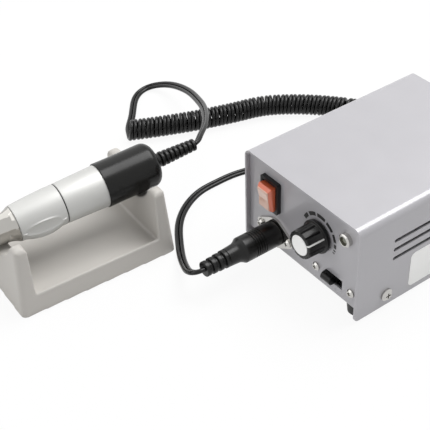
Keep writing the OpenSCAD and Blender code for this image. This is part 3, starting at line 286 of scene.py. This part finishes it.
# Rating plate
# A blank self-adhesive plate of white film with rounded corners on the right side, between the vents
# and the base.
plate_white = finish("plate_white", (0.96, 0.96, 0.945), 0.5, 1200, 0.00001, mottle=0.02)
box_right, box_front = 0.0865, 0.0115
plate_l, plate_h, plate_t, plate_corner = 0.064, 0.024, 0.00015, 0.003
plate_start, plate_up = box_front + 0.040, 0.0172


def new_piece(name, mesh, material, body):
    """Make a mesh a piece that rides on a body."""
    bmesh.ops.recalc_face_normals(mesh, faces=mesh.faces)
    piece = bpy.data.objects.new(name, bpy.data.meshes.new(name))
    mesh.to_mesh(piece.data)
    mesh.free()
    piece.data.materials.append(material)
    scene.collection.objects.link(piece)
    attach(piece, body)
    return piece


plate = bmesh.new()
bmesh.ops.create_cube(plate, size=1)
bmesh.ops.scale(plate, vec=(plate_l, plate_h, plate_t), verts=plate.verts)
upright = [e for e in plate.edges if abs(e.verts[0].co.z - e.verts[1].co.z) > plate_t / 2]
bmesh.ops.bevel(plate, geom=upright, offset=plate_corner, affect="EDGES", segments=4, profile=0.5,
                material=-1)
plate_place = (Matrix.Translation((box_right + plate_t / 2, plate_start + plate_l / 2, plate_up))
               @ Matrix.Rotation(math.pi / 2, 4, "Z") @ Matrix.Rotation(math.pi / 2, 4, "X"))
bmesh.ops.transform(plate, matrix=plate_place, verts=plate.verts)
new_piece("rating_plate", plate, plate_white, "base")

# Feet
# Four turned feet of black rubber under the base. Each is held by a screw that sits in a recess in
# its middle.
foot_rubber = finish("foot_rubber", (0.015, 0.015, 0.015), 0.6, 3000, 0.00004)
dress(foot_rubber, "feet")

# Rocker switch
# A black moulded housing snapped into the panel, with a clear orange-red rocker on two side pins. The
# rocker is a glossy bevelled block whose face is painted pale, a painted reflection, beside its
# deep-coloured bevels.
black_moulding = finish("black_moulding", (0.004, 0.004, 0.004), 0.3, 2200, 0.00002, shine=0.3)


def on_panel(x, z):
    """The frame of a part on the front panel, with its own z axis straight out of the panel."""
    return Matrix.Translation((x, panel_y, z)) @ Matrix.Rotation(math.pi / 2, 4, "X")


def paint_face_reflection(material, pale, middle, outward, start, end):
    """Paint a reflection: fade a material to a pale colour between two distances from a point along a
    direction.
    """
    tree = material.node_tree
    place, distance = tree.nodes.new("ShaderNodeTexCoord"), tree.nodes.new("ShaderNodeVectorMath")
    fade, face = tree.nodes.new("ShaderNodeMapRange"), tree.nodes.new("ShaderNodeMix")
    distance.operation = "DOT_PRODUCT"
    distance.inputs[1].default_value = outward
    fade.inputs["From Min"].default_value = middle.dot(outward) + start
    fade.inputs["From Max"].default_value = middle.dot(outward) + end
    face.data_type = "RGBA"
    face.inputs[mix_second].default_value = (*pale, 1)
    tree.links.new(place.outputs["Object"], distance.inputs[0])
    tree.links.new(distance.outputs["Value"], fade.inputs["Value"])
    tree.links.new(fade.outputs["Result"], face.inputs["Factor"])
    tree.links.new(tree.nodes["tone"].outputs[mix_result], face.inputs[mix_first])
    tree.links.new(face.outputs[mix_result], tree.nodes["Principled BSDF"].inputs["Base Color"])


rocker_x, rocker_z, rocker_lean = 0.0129, 0.0445, math.radians(6)
rocker_half, rocker_end, rocker_face = 0.0054, 0.0083, 0.0070
rocker_bevel, rocker_edge, rocker_valley = 0.0025, 0.0003, 0.0005
root_end, root_depth, waist_end, waist_depth = 0.003, 0.003, 0.0066, 0.0005
face_inset_w, face_inset_h = 0.0012, 0.002
# Where the painted reflection on the rocker's face begins and is full, as distances out of the panel
reflection_start, reflection_end = 0.0063, 0.0065
# Points that are closer than this are one
hair = 1e-6
rocker_red = finish("rocker_red", (0.74, 0.15, 0.065), 0.16, 400, 0.00001, coat=0.6, mottle=0.1)
# Painted reflection: the rocker's face is coloured pale as if it reflected its surroundings
reflection_pale = (0.68, 0.43, 0.33)
rocker_place = on_panel(rocker_x, rocker_z) @ Matrix.Rotation(rocker_lean, 4, "X")
rocker_out = rocker_place.to_3x3() @ Vector((0, 0, 1))
paint_face_reflection(rocker_red, reflection_pale, rocker_place.translation, rocker_out, reflection_start, reflection_end)
# Half width, half height and distance out of the panel, from the block's root to its face
rocker_rows = ((rocker_half, root_end, -root_depth), (rocker_half, waist_end, -waist_depth),
               (rocker_half, rocker_end, rocker_face - rocker_bevel),
               (rocker_half - face_inset_w, rocker_end - face_inset_h, rocker_face))
rocker = bmesh.new()
bmesh.ops.create_grid(rocker, x_segments=1, y_segments=1, size=1)
top = rocker.faces[:]
for row, (half_w, half_h, out) in enumerate(rocker_rows):
    if row > 0:
        grown = bmesh.ops.extrude_face_region(rocker, geom=top + top[0].edges[:])["geom"]
        top = [part for part in grown if isinstance(part, bmesh.types.BMFace)]
    for vertex in top[0].verts:
        vertex.co = (math.copysign(half_w, vertex.co.x), math.copysign(half_h, vertex.co.y), out)
rims = [e for e in rocker.edges if max(v.co.z for v in e.verts) > rocker_bevel]
bmesh.ops.bevel(rocker, geom=rims, offset=rocker_edge, affect="EDGES", segments=3, profile=0.5, material=-1)
bmesh.ops.bisect_plane(rocker, geom=rocker.verts[:] + rocker.edges[:] + rocker.faces[:], plane_co=(0, 0, 0),
                       plane_no=(0, 1, 0))
for vertex in rocker.verts:
    if abs(vertex.co.y) < hair and vertex.co.z > rocker_face - rocker_bevel / 2:
        vertex.co.z -= rocker_valley
bmesh.ops.transform(rocker, matrix=rocker_place, verts=rocker.verts)
rocker_piece = new_piece("rocker_cap", rocker, rocker_red, "power_rocker")
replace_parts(rocker_piece, "power_rocker")
dress(black_moulding, "rocker_housing")
plain_brass = finish("plain_brass", (0.62, 0.45, 0.18), 0.3, 1500, 0.00001, metallic=1)
dress(plain_brass, "rocker_terminals", "board_standoffs", "plug_pins")

# Cord socket
# A plated flange on the panel, held by two screws, with a cup behind it. A black moulded insert in the
# cup takes the plug's brass pins, and the plug's plated shell slides into it.
dress(bright_nickel, "cord_socket", "socket_screw_set", "plug_shell")
dress(black_moulding, "socket_insert")

# Plug
# Soft black moulding over the plug's shell: a long grip with a few fine rings, a shoulder, a plain neck
# and a short ribbed relief out of which the cord comes.
soft_black = finish("soft_black", (0.005, 0.005, 0.0045), 0.3, 2500, 0.00003, shine=0.3)


def turned(profile, steps=72):
    """A closed shape of revolution about z from (radius, height) points in millimetres."""
    mesh = bmesh.new()
    line = [mesh.verts.new((r / 1000, 0, z / 1000)) for r, z in profile]
    edges = [mesh.edges.new(pair) for pair in zip(line, line[1:])]
    bmesh.ops.spin(mesh, geom=line + edges, cent=(0, 0, 0), axis=(0, 0, 1), angle=2 * math.pi, steps=steps,
                   use_merge=True)
    bmesh.ops.remove_doubles(mesh, verts=mesh.verts, dist=hair)
    return mesh


def shaded_round(piece):
    """Shade a turned piece as round, with its corners kept sharp."""
    corner = math.radians(35)
    piece.data.shade_smooth()
    piece.data.set_sharp_from_angle(angle=corner)
    return piece


def arc(middle_r, middle_z, radius, start, end, steps=5):
    """Points of an arc in a turned profile, between two angles in degrees."""
    angles = [math.radians(start + (end - start) * k / steps) for k in range(steps + 1)]
    return [(middle_r + radius * math.cos(a), middle_z + radius * math.sin(a)) for a in angles]


def ribs(start, end, first_r, last_r, count):
    """Rounded ribs with waists between them, as (radius, height) points."""
    gap, waist, edge = 0.38, 0.68, 0.4
    pitch = (end - start) / (count - gap)
    points = []
    for i in range(count):
        r = first_r + (last_r - first_r) * i / (count - 1)
        low = start + i * pitch
        high = low + (1 - gap) * pitch
        points += [(r * waist, low)] + arc(r - edge, low + edge, edge, -90, 0, 3)
        points += arc(r - edge, high - edge, edge, 0, 90, 3) + [(r * waist, high)]
    return points


plug_r, plug_front, plug_edge, grip_end, shoulder = 7.8, 1.8, 0.5, 26.8, 1.2
shell_r, shell_end = 6.64, 12
neck_start, neck_end, neck_r, plug_ribs, last_rib_r = 29.8, 36.3, 5.4, 4, 4.6
ring_count, ring_start, ring_pitch = 5, plug_front + 11, 1.6
ring_w, ring_depth, ring_slope = 0.8, 0.45, 0.1
grip = [(0, shell_end), (shell_r, shell_end), (shell_r, plug_front)]
grip += arc(plug_r - plug_edge, plug_front + plug_edge, plug_edge, -90, 0)
for i in range(ring_count):
    ring_low = ring_start + i * ring_pitch
    ring_high = ring_low + ring_w
    grip += [(plug_r, ring_low - ring_slope), (plug_r - ring_depth, ring_low + ring_slope),
             (plug_r - ring_depth, ring_high - ring_slope), (plug_r, ring_high + ring_slope)]
grip += arc(plug_r - shoulder, grip_end - shoulder, shoulder, 0, 55)
grip += [(6.2, neck_start - shoulder), (5.85, neck_start), (5.6, neck_start + 3), (neck_r, neck_end)]
grip += ribs(neck_end, plug_end, neck_r, last_rib_r, plug_ribs) + [(0, plug_end)]
plug = turned(grip)
bmesh.ops.transform(plug, matrix=on_panel(socket_x, socket_z), verts=plug.verts)
plug_piece = shaded_round(new_piece("plug_grip", plug, soft_black, "base"))
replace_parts(plug_piece, "plug_body")

# Speed knob
# A black moulded knob with a skirt and twelve wide ribs, a white pointer line let into it, and a turned
# aluminium cap in its end. It is pushed on the shaft of the speed control behind the panel.
turned_cap = finish("turned_cap", (0.95, 0.95, 0.94), 0.4, 4000, 0.00002, metallic=0.1, mottle=0.04)
pointer_white = finish("pointer_white", (0.82, 0.82, 0.80), 0.45, 1500, 0.00001, mottle=0.02)
knob_x, knob_z, knob_turn = 0.0529, 0.0405, math.radians(-63)
knob_place = on_panel(knob_x, knob_z) @ Matrix.Rotation(knob_turn, 4, "Z")
knob_gap, knob_front, knob_r, knob_front_r, knob_edge = 0.8, 13.8, 8.8, 8.4, 0.5
skirt_r, skirt_side, skirt_edge, skirt_fillet = 10.1, knob_gap + 1.8, 0.6, 0.3
hub_r, hub_z, body_z = 4.5, knob_gap + 2.2, knob_gap + 2.9
cap_r, cap_floor = 6.2, knob_front - 0.8
rib_count, rib_cuts, flute_depth, flute_reach = 12, 6, 0.65, 0.3
flute_start, flute_inner = body_z - 0.1, cap_r + 0.3
knob_profile = [(hub_r, hub_z), (hub_r, knob_gap), (skirt_r - skirt_fillet, knob_gap)]
knob_profile += arc(skirt_r - skirt_edge, skirt_side, skirt_edge, 0, 90)
knob_profile += [(knob_r + skirt_fillet, body_z - 0.4), (knob_r, body_z), (knob_front_r, knob_front - 0.6)]
knob_profile += arc(knob_front_r - knob_edge, knob_front - knob_edge, knob_edge, 0, 90)
knob_profile += [(cap_r, knob_front), (cap_r, cap_floor), (hub_r, cap_floor), (hub_r, hub_z)]
knob = turned(knob_profile, steps=rib_count * rib_cuts)
for vertex in knob.verts:
    radius = vertex.co.xy.length
    ribs_round = (math.degrees(math.atan2(vertex.co.y, vertex.co.x)) - 90) / (360 / rib_count)
    in_flute = abs((ribs_round + 0.5) % 1 - 0.5) * rib_cuts < flute_reach
    if in_flute and vertex.co.z > flute_start / 1000 and radius > flute_inner / 1000:
        vertex.co.xy *= 1 - flute_depth / 1000 / radius
bmesh.ops.transform(knob, matrix=knob_place, verts=knob.verts)
knob_piece = shaded_round(new_piece("knob_grip", knob, black_moulding, "speed_knob"))
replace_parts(knob_piece, "speed_knob")
pointer_w, pointer_t, side_length, end_length = 0.0009, 0.0008, 0.0103, 0.0021
side_out, side_up, side_slope, end_out, end_up = 0.00828, 0.0086, math.radians(2.1), 0.0073, 0.01352
side_place = Matrix.Translation((0, side_out, side_up)) @ Matrix.Rotation(side_slope, 4, "X")
end_place = Matrix.Translation((0, end_out, end_up)) @ Matrix.Rotation(math.pi / 2, 4, "X")
pointer = bmesh.new()
for place, length in ((side_place, side_length), (end_place, end_length)):
    bar = bmesh.ops.create_cube(pointer, size=1, matrix=Matrix.Diagonal((pointer_w, pointer_t, length, 1)))
    bmesh.ops.transform(pointer, matrix=place, verts=bar["verts"])
bmesh.ops.transform(pointer, matrix=knob_place, verts=pointer.verts)
new_piece("knob_pointer", pointer, pointer_white, "speed_knob")
dress(turned_cap, "knob_cap", "pot_shaft", "heat_sink")
dress(bright_nickel, "pot_nut")
plain_steel = finish("plain_steel", (0.52, 0.52, 0.53), 0.35, 1800, 0.00001, metallic=1)
dress(plain_steel, "speed_pot", "slide_switch", "transformer_strap", "motor_can", "spindle",
      "front_bearing", "rear_bearing")

# Printed scale
# Black screen print on the panel: a plain broken ring round the knob, whose pieces get narrower and
# shorter towards its low end.
scale_ink = finish("scale_ink", (0.010, 0.010, 0.010), 0.5, 2000, 0.00001)
ink_t, ink_r, ink_steps = 0.00004, 0.0128, 8
# Start and end of each piece in degrees, and its width in millimetres
ring_pieces = ((158, 138, 2.4), (132, 106, 2.4), (100, 72, 2.3), (66, 40, 2.2), (34, 12, 2), (6, -6, 1.8),
               (-11, -16, 1.7), (-20, -24, 1.6))
print_mesh = bmesh.new()
for start, end, width in ring_pieces:
    line = [print_mesh.verts.new((ink_r + s * width / 2000, 0, ink_t)) for s in (-1, 1)]
    bmesh.ops.rotate(print_mesh, matrix=Matrix.Rotation(math.radians(start), 3, "Z"), verts=line)
    bmesh.ops.spin(print_mesh, geom=line + [print_mesh.edges.new(line)], cent=(0, 0, 0), axis=(0, 0, 1),
                   angle=math.radians(end - start), steps=ink_steps)
bmesh.ops.solidify(print_mesh, geom=print_mesh.faces[:], thickness=ink_t / 2)
bmesh.ops.transform(print_mesh, matrix=on_panel(knob_x, knob_z), verts=print_mesh.verts)
new_piece("printed_scale", print_mesh, scale_ink, "base")

# Pilot lamp
# A plated bezel with a dark clear lens at the panel's right end. It is pushed through the panel and
# held by a nut behind it.
lens_olive = finish("lens_olive", (0.10, 0.105, 0.06), 0.12, 300, 0.00001, coat=0.8, mottle=0.2)
dress(bright_nickel, "lamp_bezel", "lamp_nut")
dress(lens_olive, "lamp_lens")

# Slide switch
# A steel-cased switch behind a slot low in the panel, held by two plated screws. Its black moulded
# lever comes out through the slot.
dress(bright_nickel, "slide_screw_set")
dress(black_moulding, "slide_lever")

# Back panel
# A black moulded gland where the mains lead enters, and a fuse holder with a nut on the inside, a
# slotted bayonet cap and a glass fuse.
dress(black_moulding, "mains_gland", "fuse_holder", "fuse_nut", "fuse_cap")
fuse_glass = finish("fuse_glass", (0.82, 0.85, 0.85), 0.1, 200, 0.000005)
dress(fuse_glass, "fuse")

# Inside the box
# A transformer with a stacked core and taped coil under a steel strap, and a circuit board on brass
# standoffs with its capacitors, rectifier and a transistor on a finned heat sink.
core_steel = finish("core_steel", (0.22, 0.22, 0.24), 0.5, 2000, 0.00003, metallic=1)
coil_tape = finish("coil_tape", (0.62, 0.36, 0.09), 0.4, 700, 0.00003)
board_green = finish("board_green", (0.03, 0.16, 0.06), 0.35, 900, 0.00001, mottle=0.15)
sleeve_blue = finish("sleeve_blue", (0.02, 0.04, 0.11), 0.3, 900, 0.00001)
dress(core_steel, "transformer_core", "rotor", "motor_magnets")
dress(coil_tape, "transformer_coil")
dress(board_green, "circuit_board")
dress(sleeve_blue, "capacitors")
dress(black_moulding, "rectifier", "power_transistor")

# Stand
# A hollow moulding in matt warm-grey plastic: a tray between two end walls with a rounded notch in each.
# Every edge of the moulding is soft.
stand_grey = finish("stand_grey", (0.51, 0.49, 0.46), 0.55, 2600, 0.00003, mottle=0.03)
stand_mesh = bmesh.new()
stand_mesh.from_mesh(nodes["stand"].data)
bmesh.ops.remove_doubles(stand_mesh, verts=stand_mesh.verts, dist=hair)
stand = new_piece("stand_moulding", stand_mesh, stand_grey, "base")
remesh = stand.modifiers.new("remesh", "REMESH")
remesh.mode = "VOXEL"
remesh.voxel_size = 0.0006
remesh.use_smooth_shade = True
soften = stand.modifiers.new("soften", "SMOOTH")
soften.factor = 0.5
soften.iterations = 10
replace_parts(stand, "stand")

# Front sleeve
# A turned and blasted aluminium sleeve that twists to lock the collet. Its underside swells for the
# finger, and a rimmed oval hollow is pressed into each side.
blasted = finish("blasted", (0.53, 0.53, 0.515), 0.5, 5000, 0.00002, metallic=0.4, mottle=0.03)
front_start, front_end, front_edge, front_bore = -71.75, -44, 0.3, 8.14
front_r, front_rise, front_cuts, front_steps = 10.7, 1.4, 60, 240
front_skin = 0.0102
hollow_angles, hollow_span = (math.radians(-5), math.radians(185)), math.radians(18)
hollow_middle, hollow_half, hollow_depth, hollow_round = -0.0582, 0.0106, 0.0008, 1.3
rim_reach, rim_spread, rim_rise = 1.1, 0.13, 0.0007
belly_rise, belly_start, belly_full = 0.0018, math.sin(math.radians(20)), math.sin(math.radians(48))


def in_hand(name, mesh, material, body):
    """Put a turned mesh on the handpiece's axis and make it a piece."""
    bmesh.ops.transform(mesh, matrix=hand_frame, verts=mesh.verts)
    return shaded_round(new_piece(name, mesh, material, body))


def grip_lift(spot):
    """How far the sleeve's skin stands out from its round form: swollen below, hollow at both sides."""
    along = (spot.z - hollow_middle) / hollow_half
    sink = (spot.y / spot.xy.length - belly_start) / (belly_full - belly_start)
    sink = min(1, max(0, sink))
    lift = belly_rise * max(0, 1 - along ** 2) * sink ** 2 * (3 - 2 * sink)
    for hollow in hollow_angles:
        around = math.atan2(-spot.y, spot.x) - hollow
        off = (around + math.pi) % (2 * math.pi) - math.pi
        reach = math.hypot(off / hollow_span, along)
        rim = rim_rise * math.exp(-((reach - rim_reach) / rim_spread) ** 2)
        above = off * math.cos(hollow) > 0
        lift += rim * max(0, 1 - along ** 2) if above else rim
        if reach < 1:
            lift -= hollow_depth * (1 - reach ** 2) ** hollow_round
    return lift


front_run = front_end - front_start - 2 * front_edge
front_profile = [(front_bore, front_end), (front_bore, front_start), (front_r - front_edge, front_start)]
for k in range(front_cuts + 1):
    along = k / front_cuts
    swell = front_rise * math.sin(math.pi / 2 * along)
    front_profile.append((front_r + swell, front_start + front_edge + front_run * along))
front_profile += [(front_r + front_rise - front_edge, front_end), (front_bore, front_end)]
front = turned(front_profile, steps=front_steps)
for vertex in front.verts:
    radius = vertex.co.xy.length
    if radius >= front_skin:
        vertex.co.xy *= 1 + grip_lift(vertex.co) / radius
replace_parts(in_hand("front_shell", front, blasted, "front_sleeve"), "front_sleeve")

# Rear barrel
# A turned tube of the same blasted aluminium behind a dark plastic seam ring. Its thinner rear end holds
# the motor and goes inside the black sleeve.
barrel_start, barrel_end, barrel_edge, barrel_steps = -43.4, -17.9, 0.3, 96
barrel_front_r, barrel_r = 12.1, 12.8
tube_r, tube_bore, tube_end, web_start, web_end, web_bore = 11.4, 9.7, 6.1, -37.4, -33.9, 5.5
barrel_profile = [(front_bore, web_start), (front_bore, barrel_start),
                  (barrel_front_r - barrel_edge, barrel_start),
                  (barrel_front_r, barrel_start + barrel_edge), (barrel_r, barrel_end - barrel_edge),
                  (barrel_r - 0.1, barrel_end), (tube_r, barrel_end), (tube_r, tube_end),
                  (tube_bore, tube_end), (tube_bore, web_end), (web_bore, web_end), (web_bore, web_start),
                  (front_bore, web_start)]
barrel = turned(barrel_profile, steps=barrel_steps)
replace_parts(in_hand("barrel_shell", barrel, blasted, "handpiece"), "rear_barrel")

# Nose
# A turned and polished cone in front of the sleeve, plated bright. Its long spigot runs back inside the
# sleeve and carries the spindle, and the collet sits in its tip.
polished_chrome = finish("polished_chrome", (0.45, 0.44, 0.415), 0.09, 800, 0.000005, metallic=1)
nose_tip, nose_floor, nose_end, spigot_end = -103, -98, -72, -37.5
tip_bore, nose_bore, spigot_bore, spigot_r = 2.8, 3.9, 5.5, 8.1


def on_curve(points, steps=6):
    """Points of a smooth curve in a turned profile."""
    line = smooth([Vector((r, 0, z)) for r, z in points], steps)
    return [(p.x, p.z) for p in line]


nose_profile = [(tip_bore, nose_tip), (4.3, nose_tip), (4.6, nose_tip + 0.3)]
nose_profile += on_curve([(4.7, -101), (5.4, -94.6), (6.8, -90), (8, -85.6), (8.5, -77.6), (9.4, -74.4),
                          (10.4, -72.5)])
nose_profile += [(10.5, nose_end - 0.2), (10.4, nose_end), (spigot_r, nose_end), (spigot_r, spigot_end),
                 (spigot_bore, spigot_end), (spigot_bore, nose_end), (nose_bore, nose_end),
                 (nose_bore, nose_floor), (tip_bore, nose_floor), (tip_bore, nose_tip)]
nose = turned(nose_profile, steps=barrel_steps)
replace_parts(in_hand("nose_shell", nose, polished_chrome, "handpiece"), "nose_cone")

# Motor sleeve
# A black moulded cap over the motor's end of the handpiece, a little waisted, with a round shoulder at
# its back. A small moulded stud stands on its side.
sleeve_black = finish("sleeve_black", (0.005, 0.005, 0.0045), 0.25, 2200, 0.00002, shine=0.25)
sleeve_r, sleeve_bore, sleeve_start, sleeve_floor, sleeve_end = 13.5, 11.5, -17.9, 10.6, 17.9
sleeve_edge, shoulder_r, relief_hole = 0.3, 5.5, 3.3
sleeve_profile = [(sleeve_bore, sleeve_floor), (sleeve_bore, sleeve_start),
                  (sleeve_r - sleeve_edge, sleeve_start), (sleeve_r, sleeve_start + sleeve_edge)]
sleeve_profile += on_curve([(sleeve_r, -17.3), (13.4, -10), (13.45, 0), (sleeve_r, 8), (sleeve_r, 12)])
sleeve_profile += arc(sleeve_r - shoulder_r, sleeve_end - shoulder_r, shoulder_r, 5, 90, 10)
sleeve_profile += [(relief_hole, sleeve_end), (relief_hole, sleeve_floor), (sleeve_bore, sleeve_floor)]
sleeve = turned(sleeve_profile, steps=barrel_steps)
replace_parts(in_hand("sleeve_shell", sleeve, sleeve_black, "handpiece"), "motor_sleeve")
stud_round, stud_out, stud_along, stud_steps = math.radians(-12), 0.01335, -0.0107, 32
stud = turned([(0, 0), (0.8, 0), (0.8, 0.15), (1, 0.22), (1.25, 0.15), (1.3, -0.3), (0, -0.3), (0, 0)],
              steps=stud_steps)
stud_place = (Matrix.Rotation(stud_round, 4, "Z") @ Matrix.Translation((stud_out, 0, stud_along))
              @ Matrix.Rotation(math.pi / 2, 4, "Y"))
bmesh.ops.transform(stud, matrix=stud_place, verts=stud.verts)
in_hand("sleeve_stud", stud, sleeve_black, "handpiece")

# Strain relief
# A soft black moulding round the cord, with its stem pressed into the motor sleeve's hole, a flange on
# the sleeve's back and a tapered row of ribs that lets the cord bend gently.
stem_r, stem_start, flange_r = 3.2, sleeve_floor + 0.2, 5.4
rib_start, root_rib_r, tip_rib_r, relief_ribs = 21.9, 4.6, 3.7, 8
relief_profile = [(0, stem_start), (stem_r, stem_start), (stem_r, sleeve_end), (flange_r, sleeve_end),
                  (5.3, 18.6), (4.4, 20.4), (tip_rib_r, rib_start)]
relief_profile += ribs(rib_start, relief_end, root_rib_r, tip_rib_r, relief_ribs)
relief = turned(relief_profile + [(0, relief_end)])
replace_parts(in_hand("relief_ribs", relief, soft_black, "handpiece"), "strain_relief")

# Small parts of the handpiece
# The dark seam ring between sleeve and barrel, the motor's end bell and the coupling are black mouldings.
# The collet in the nose is polished steel.
dress(black_moulding, "seam_ring", "motor_end_bell", "coupling")
dress(polished_chrome, "collet")

# Floor and light
# A wide white floor under the object, one large soft lamp overhead and a little behind, which the
# cover's bends catch, two weak fills from the front and the left, and a dim even surround.
floor_reach, floor_grey, floor_glow, surround_level = 4, 0.8, 0.92, 0.385


def seen_directly(tree):
    """1 for rays from the camera, off gloss or through glass, 0 for those that only carry light."""
    kinds = tree.nodes.new("ShaderNodeLightPath").outputs
    seen = kinds["Is Camera Ray"]
    for kind in ("Is Glossy Ray", "Is Transmission Ray"):
        either = tree.nodes.new("ShaderNodeMath")
        either.operation = "MAXIMUM"
        tree.links.new(seen, either.inputs[0])
        tree.links.new(kinds[kind], either.inputs[1])
        seen = either.outputs[0]
    return seen


floor_mesh = bmesh.new()
bmesh.ops.create_grid(floor_mesh, x_segments=1, y_segments=1, size=floor_reach)
floor = bpy.data.objects.new("floor", bpy.data.meshes.new("floor"))
floor_mesh.to_mesh(floor.data)
floor_mesh.free()
floor_white = bpy.data.materials.new("floor_white")
floor_white.use_nodes = True
tree = floor_white.node_tree
tree.nodes.clear()
paper, glow = tree.nodes.new("ShaderNodeBsdfDiffuse"), tree.nodes.new("ShaderNodeEmission")
share, blend = tree.nodes.new("ShaderNodeMath"), tree.nodes.new("ShaderNodeMixShader")
surface = tree.nodes.new("ShaderNodeOutputMaterial")
paper.inputs["Color"].default_value = (floor_grey, floor_grey, floor_grey, 1)
share.operation = "MULTIPLY"
share.inputs[1].default_value = floor_glow
tree.links.new(seen_directly(tree), share.inputs[0])
tree.links.new(share.outputs[0], blend.inputs["Fac"])
tree.links.new(paper.outputs[0], blend.inputs[1])
tree.links.new(glow.outputs[0], blend.inputs[2])
tree.links.new(blend.outputs[0], surface.inputs["Surface"])
floor.data.materials.append(floor_white)
scene.collection.objects.link(floor)


def soft_lamp(name, place, aim, size, watts):
    """A square area lamp that shines from a place towards a point."""
    lamp = bpy.data.objects.new(name, bpy.data.lights.new(name, "AREA"))
    lamp.data.size = size
    lamp.data.energy = watts
    lamp.location = place
    lamp.rotation_euler = (Vector(aim) - Vector(place)).to_track_quat("-Z", "Y").to_euler()
    scene.collection.objects.link(lamp)


object_middle = (-0.05, -0.1, 0.03)
soft_lamp("key_lamp", (0, 0.6, 1.3), aim=(0, 0, 0), size=1, watts=20)
soft_lamp("front_fill", (-0.3, -1, 0.5), aim=object_middle, size=1, watts=2.8)
soft_lamp("left_fill", (-1.2, -0.3, 1), aim=object_middle, size=1.6, watts=6)
surround = bpy.data.worlds.new("surround")
surround.use_nodes = True
tree = surround.node_tree
strength = tree.nodes.new("ShaderNodeMapRange")
strength.inputs["To Min"].default_value = surround_level
tree.nodes["Background"].inputs["Color"].default_value = (1, 1, 1, 1)
tree.links.new(seen_directly(tree), strength.inputs["Value"])
tree.links.new(strength.outputs["Result"], tree.nodes["Background"].inputs["Strength"])
scene.world = surround
scene.view_settings.view_transform = "Standard"
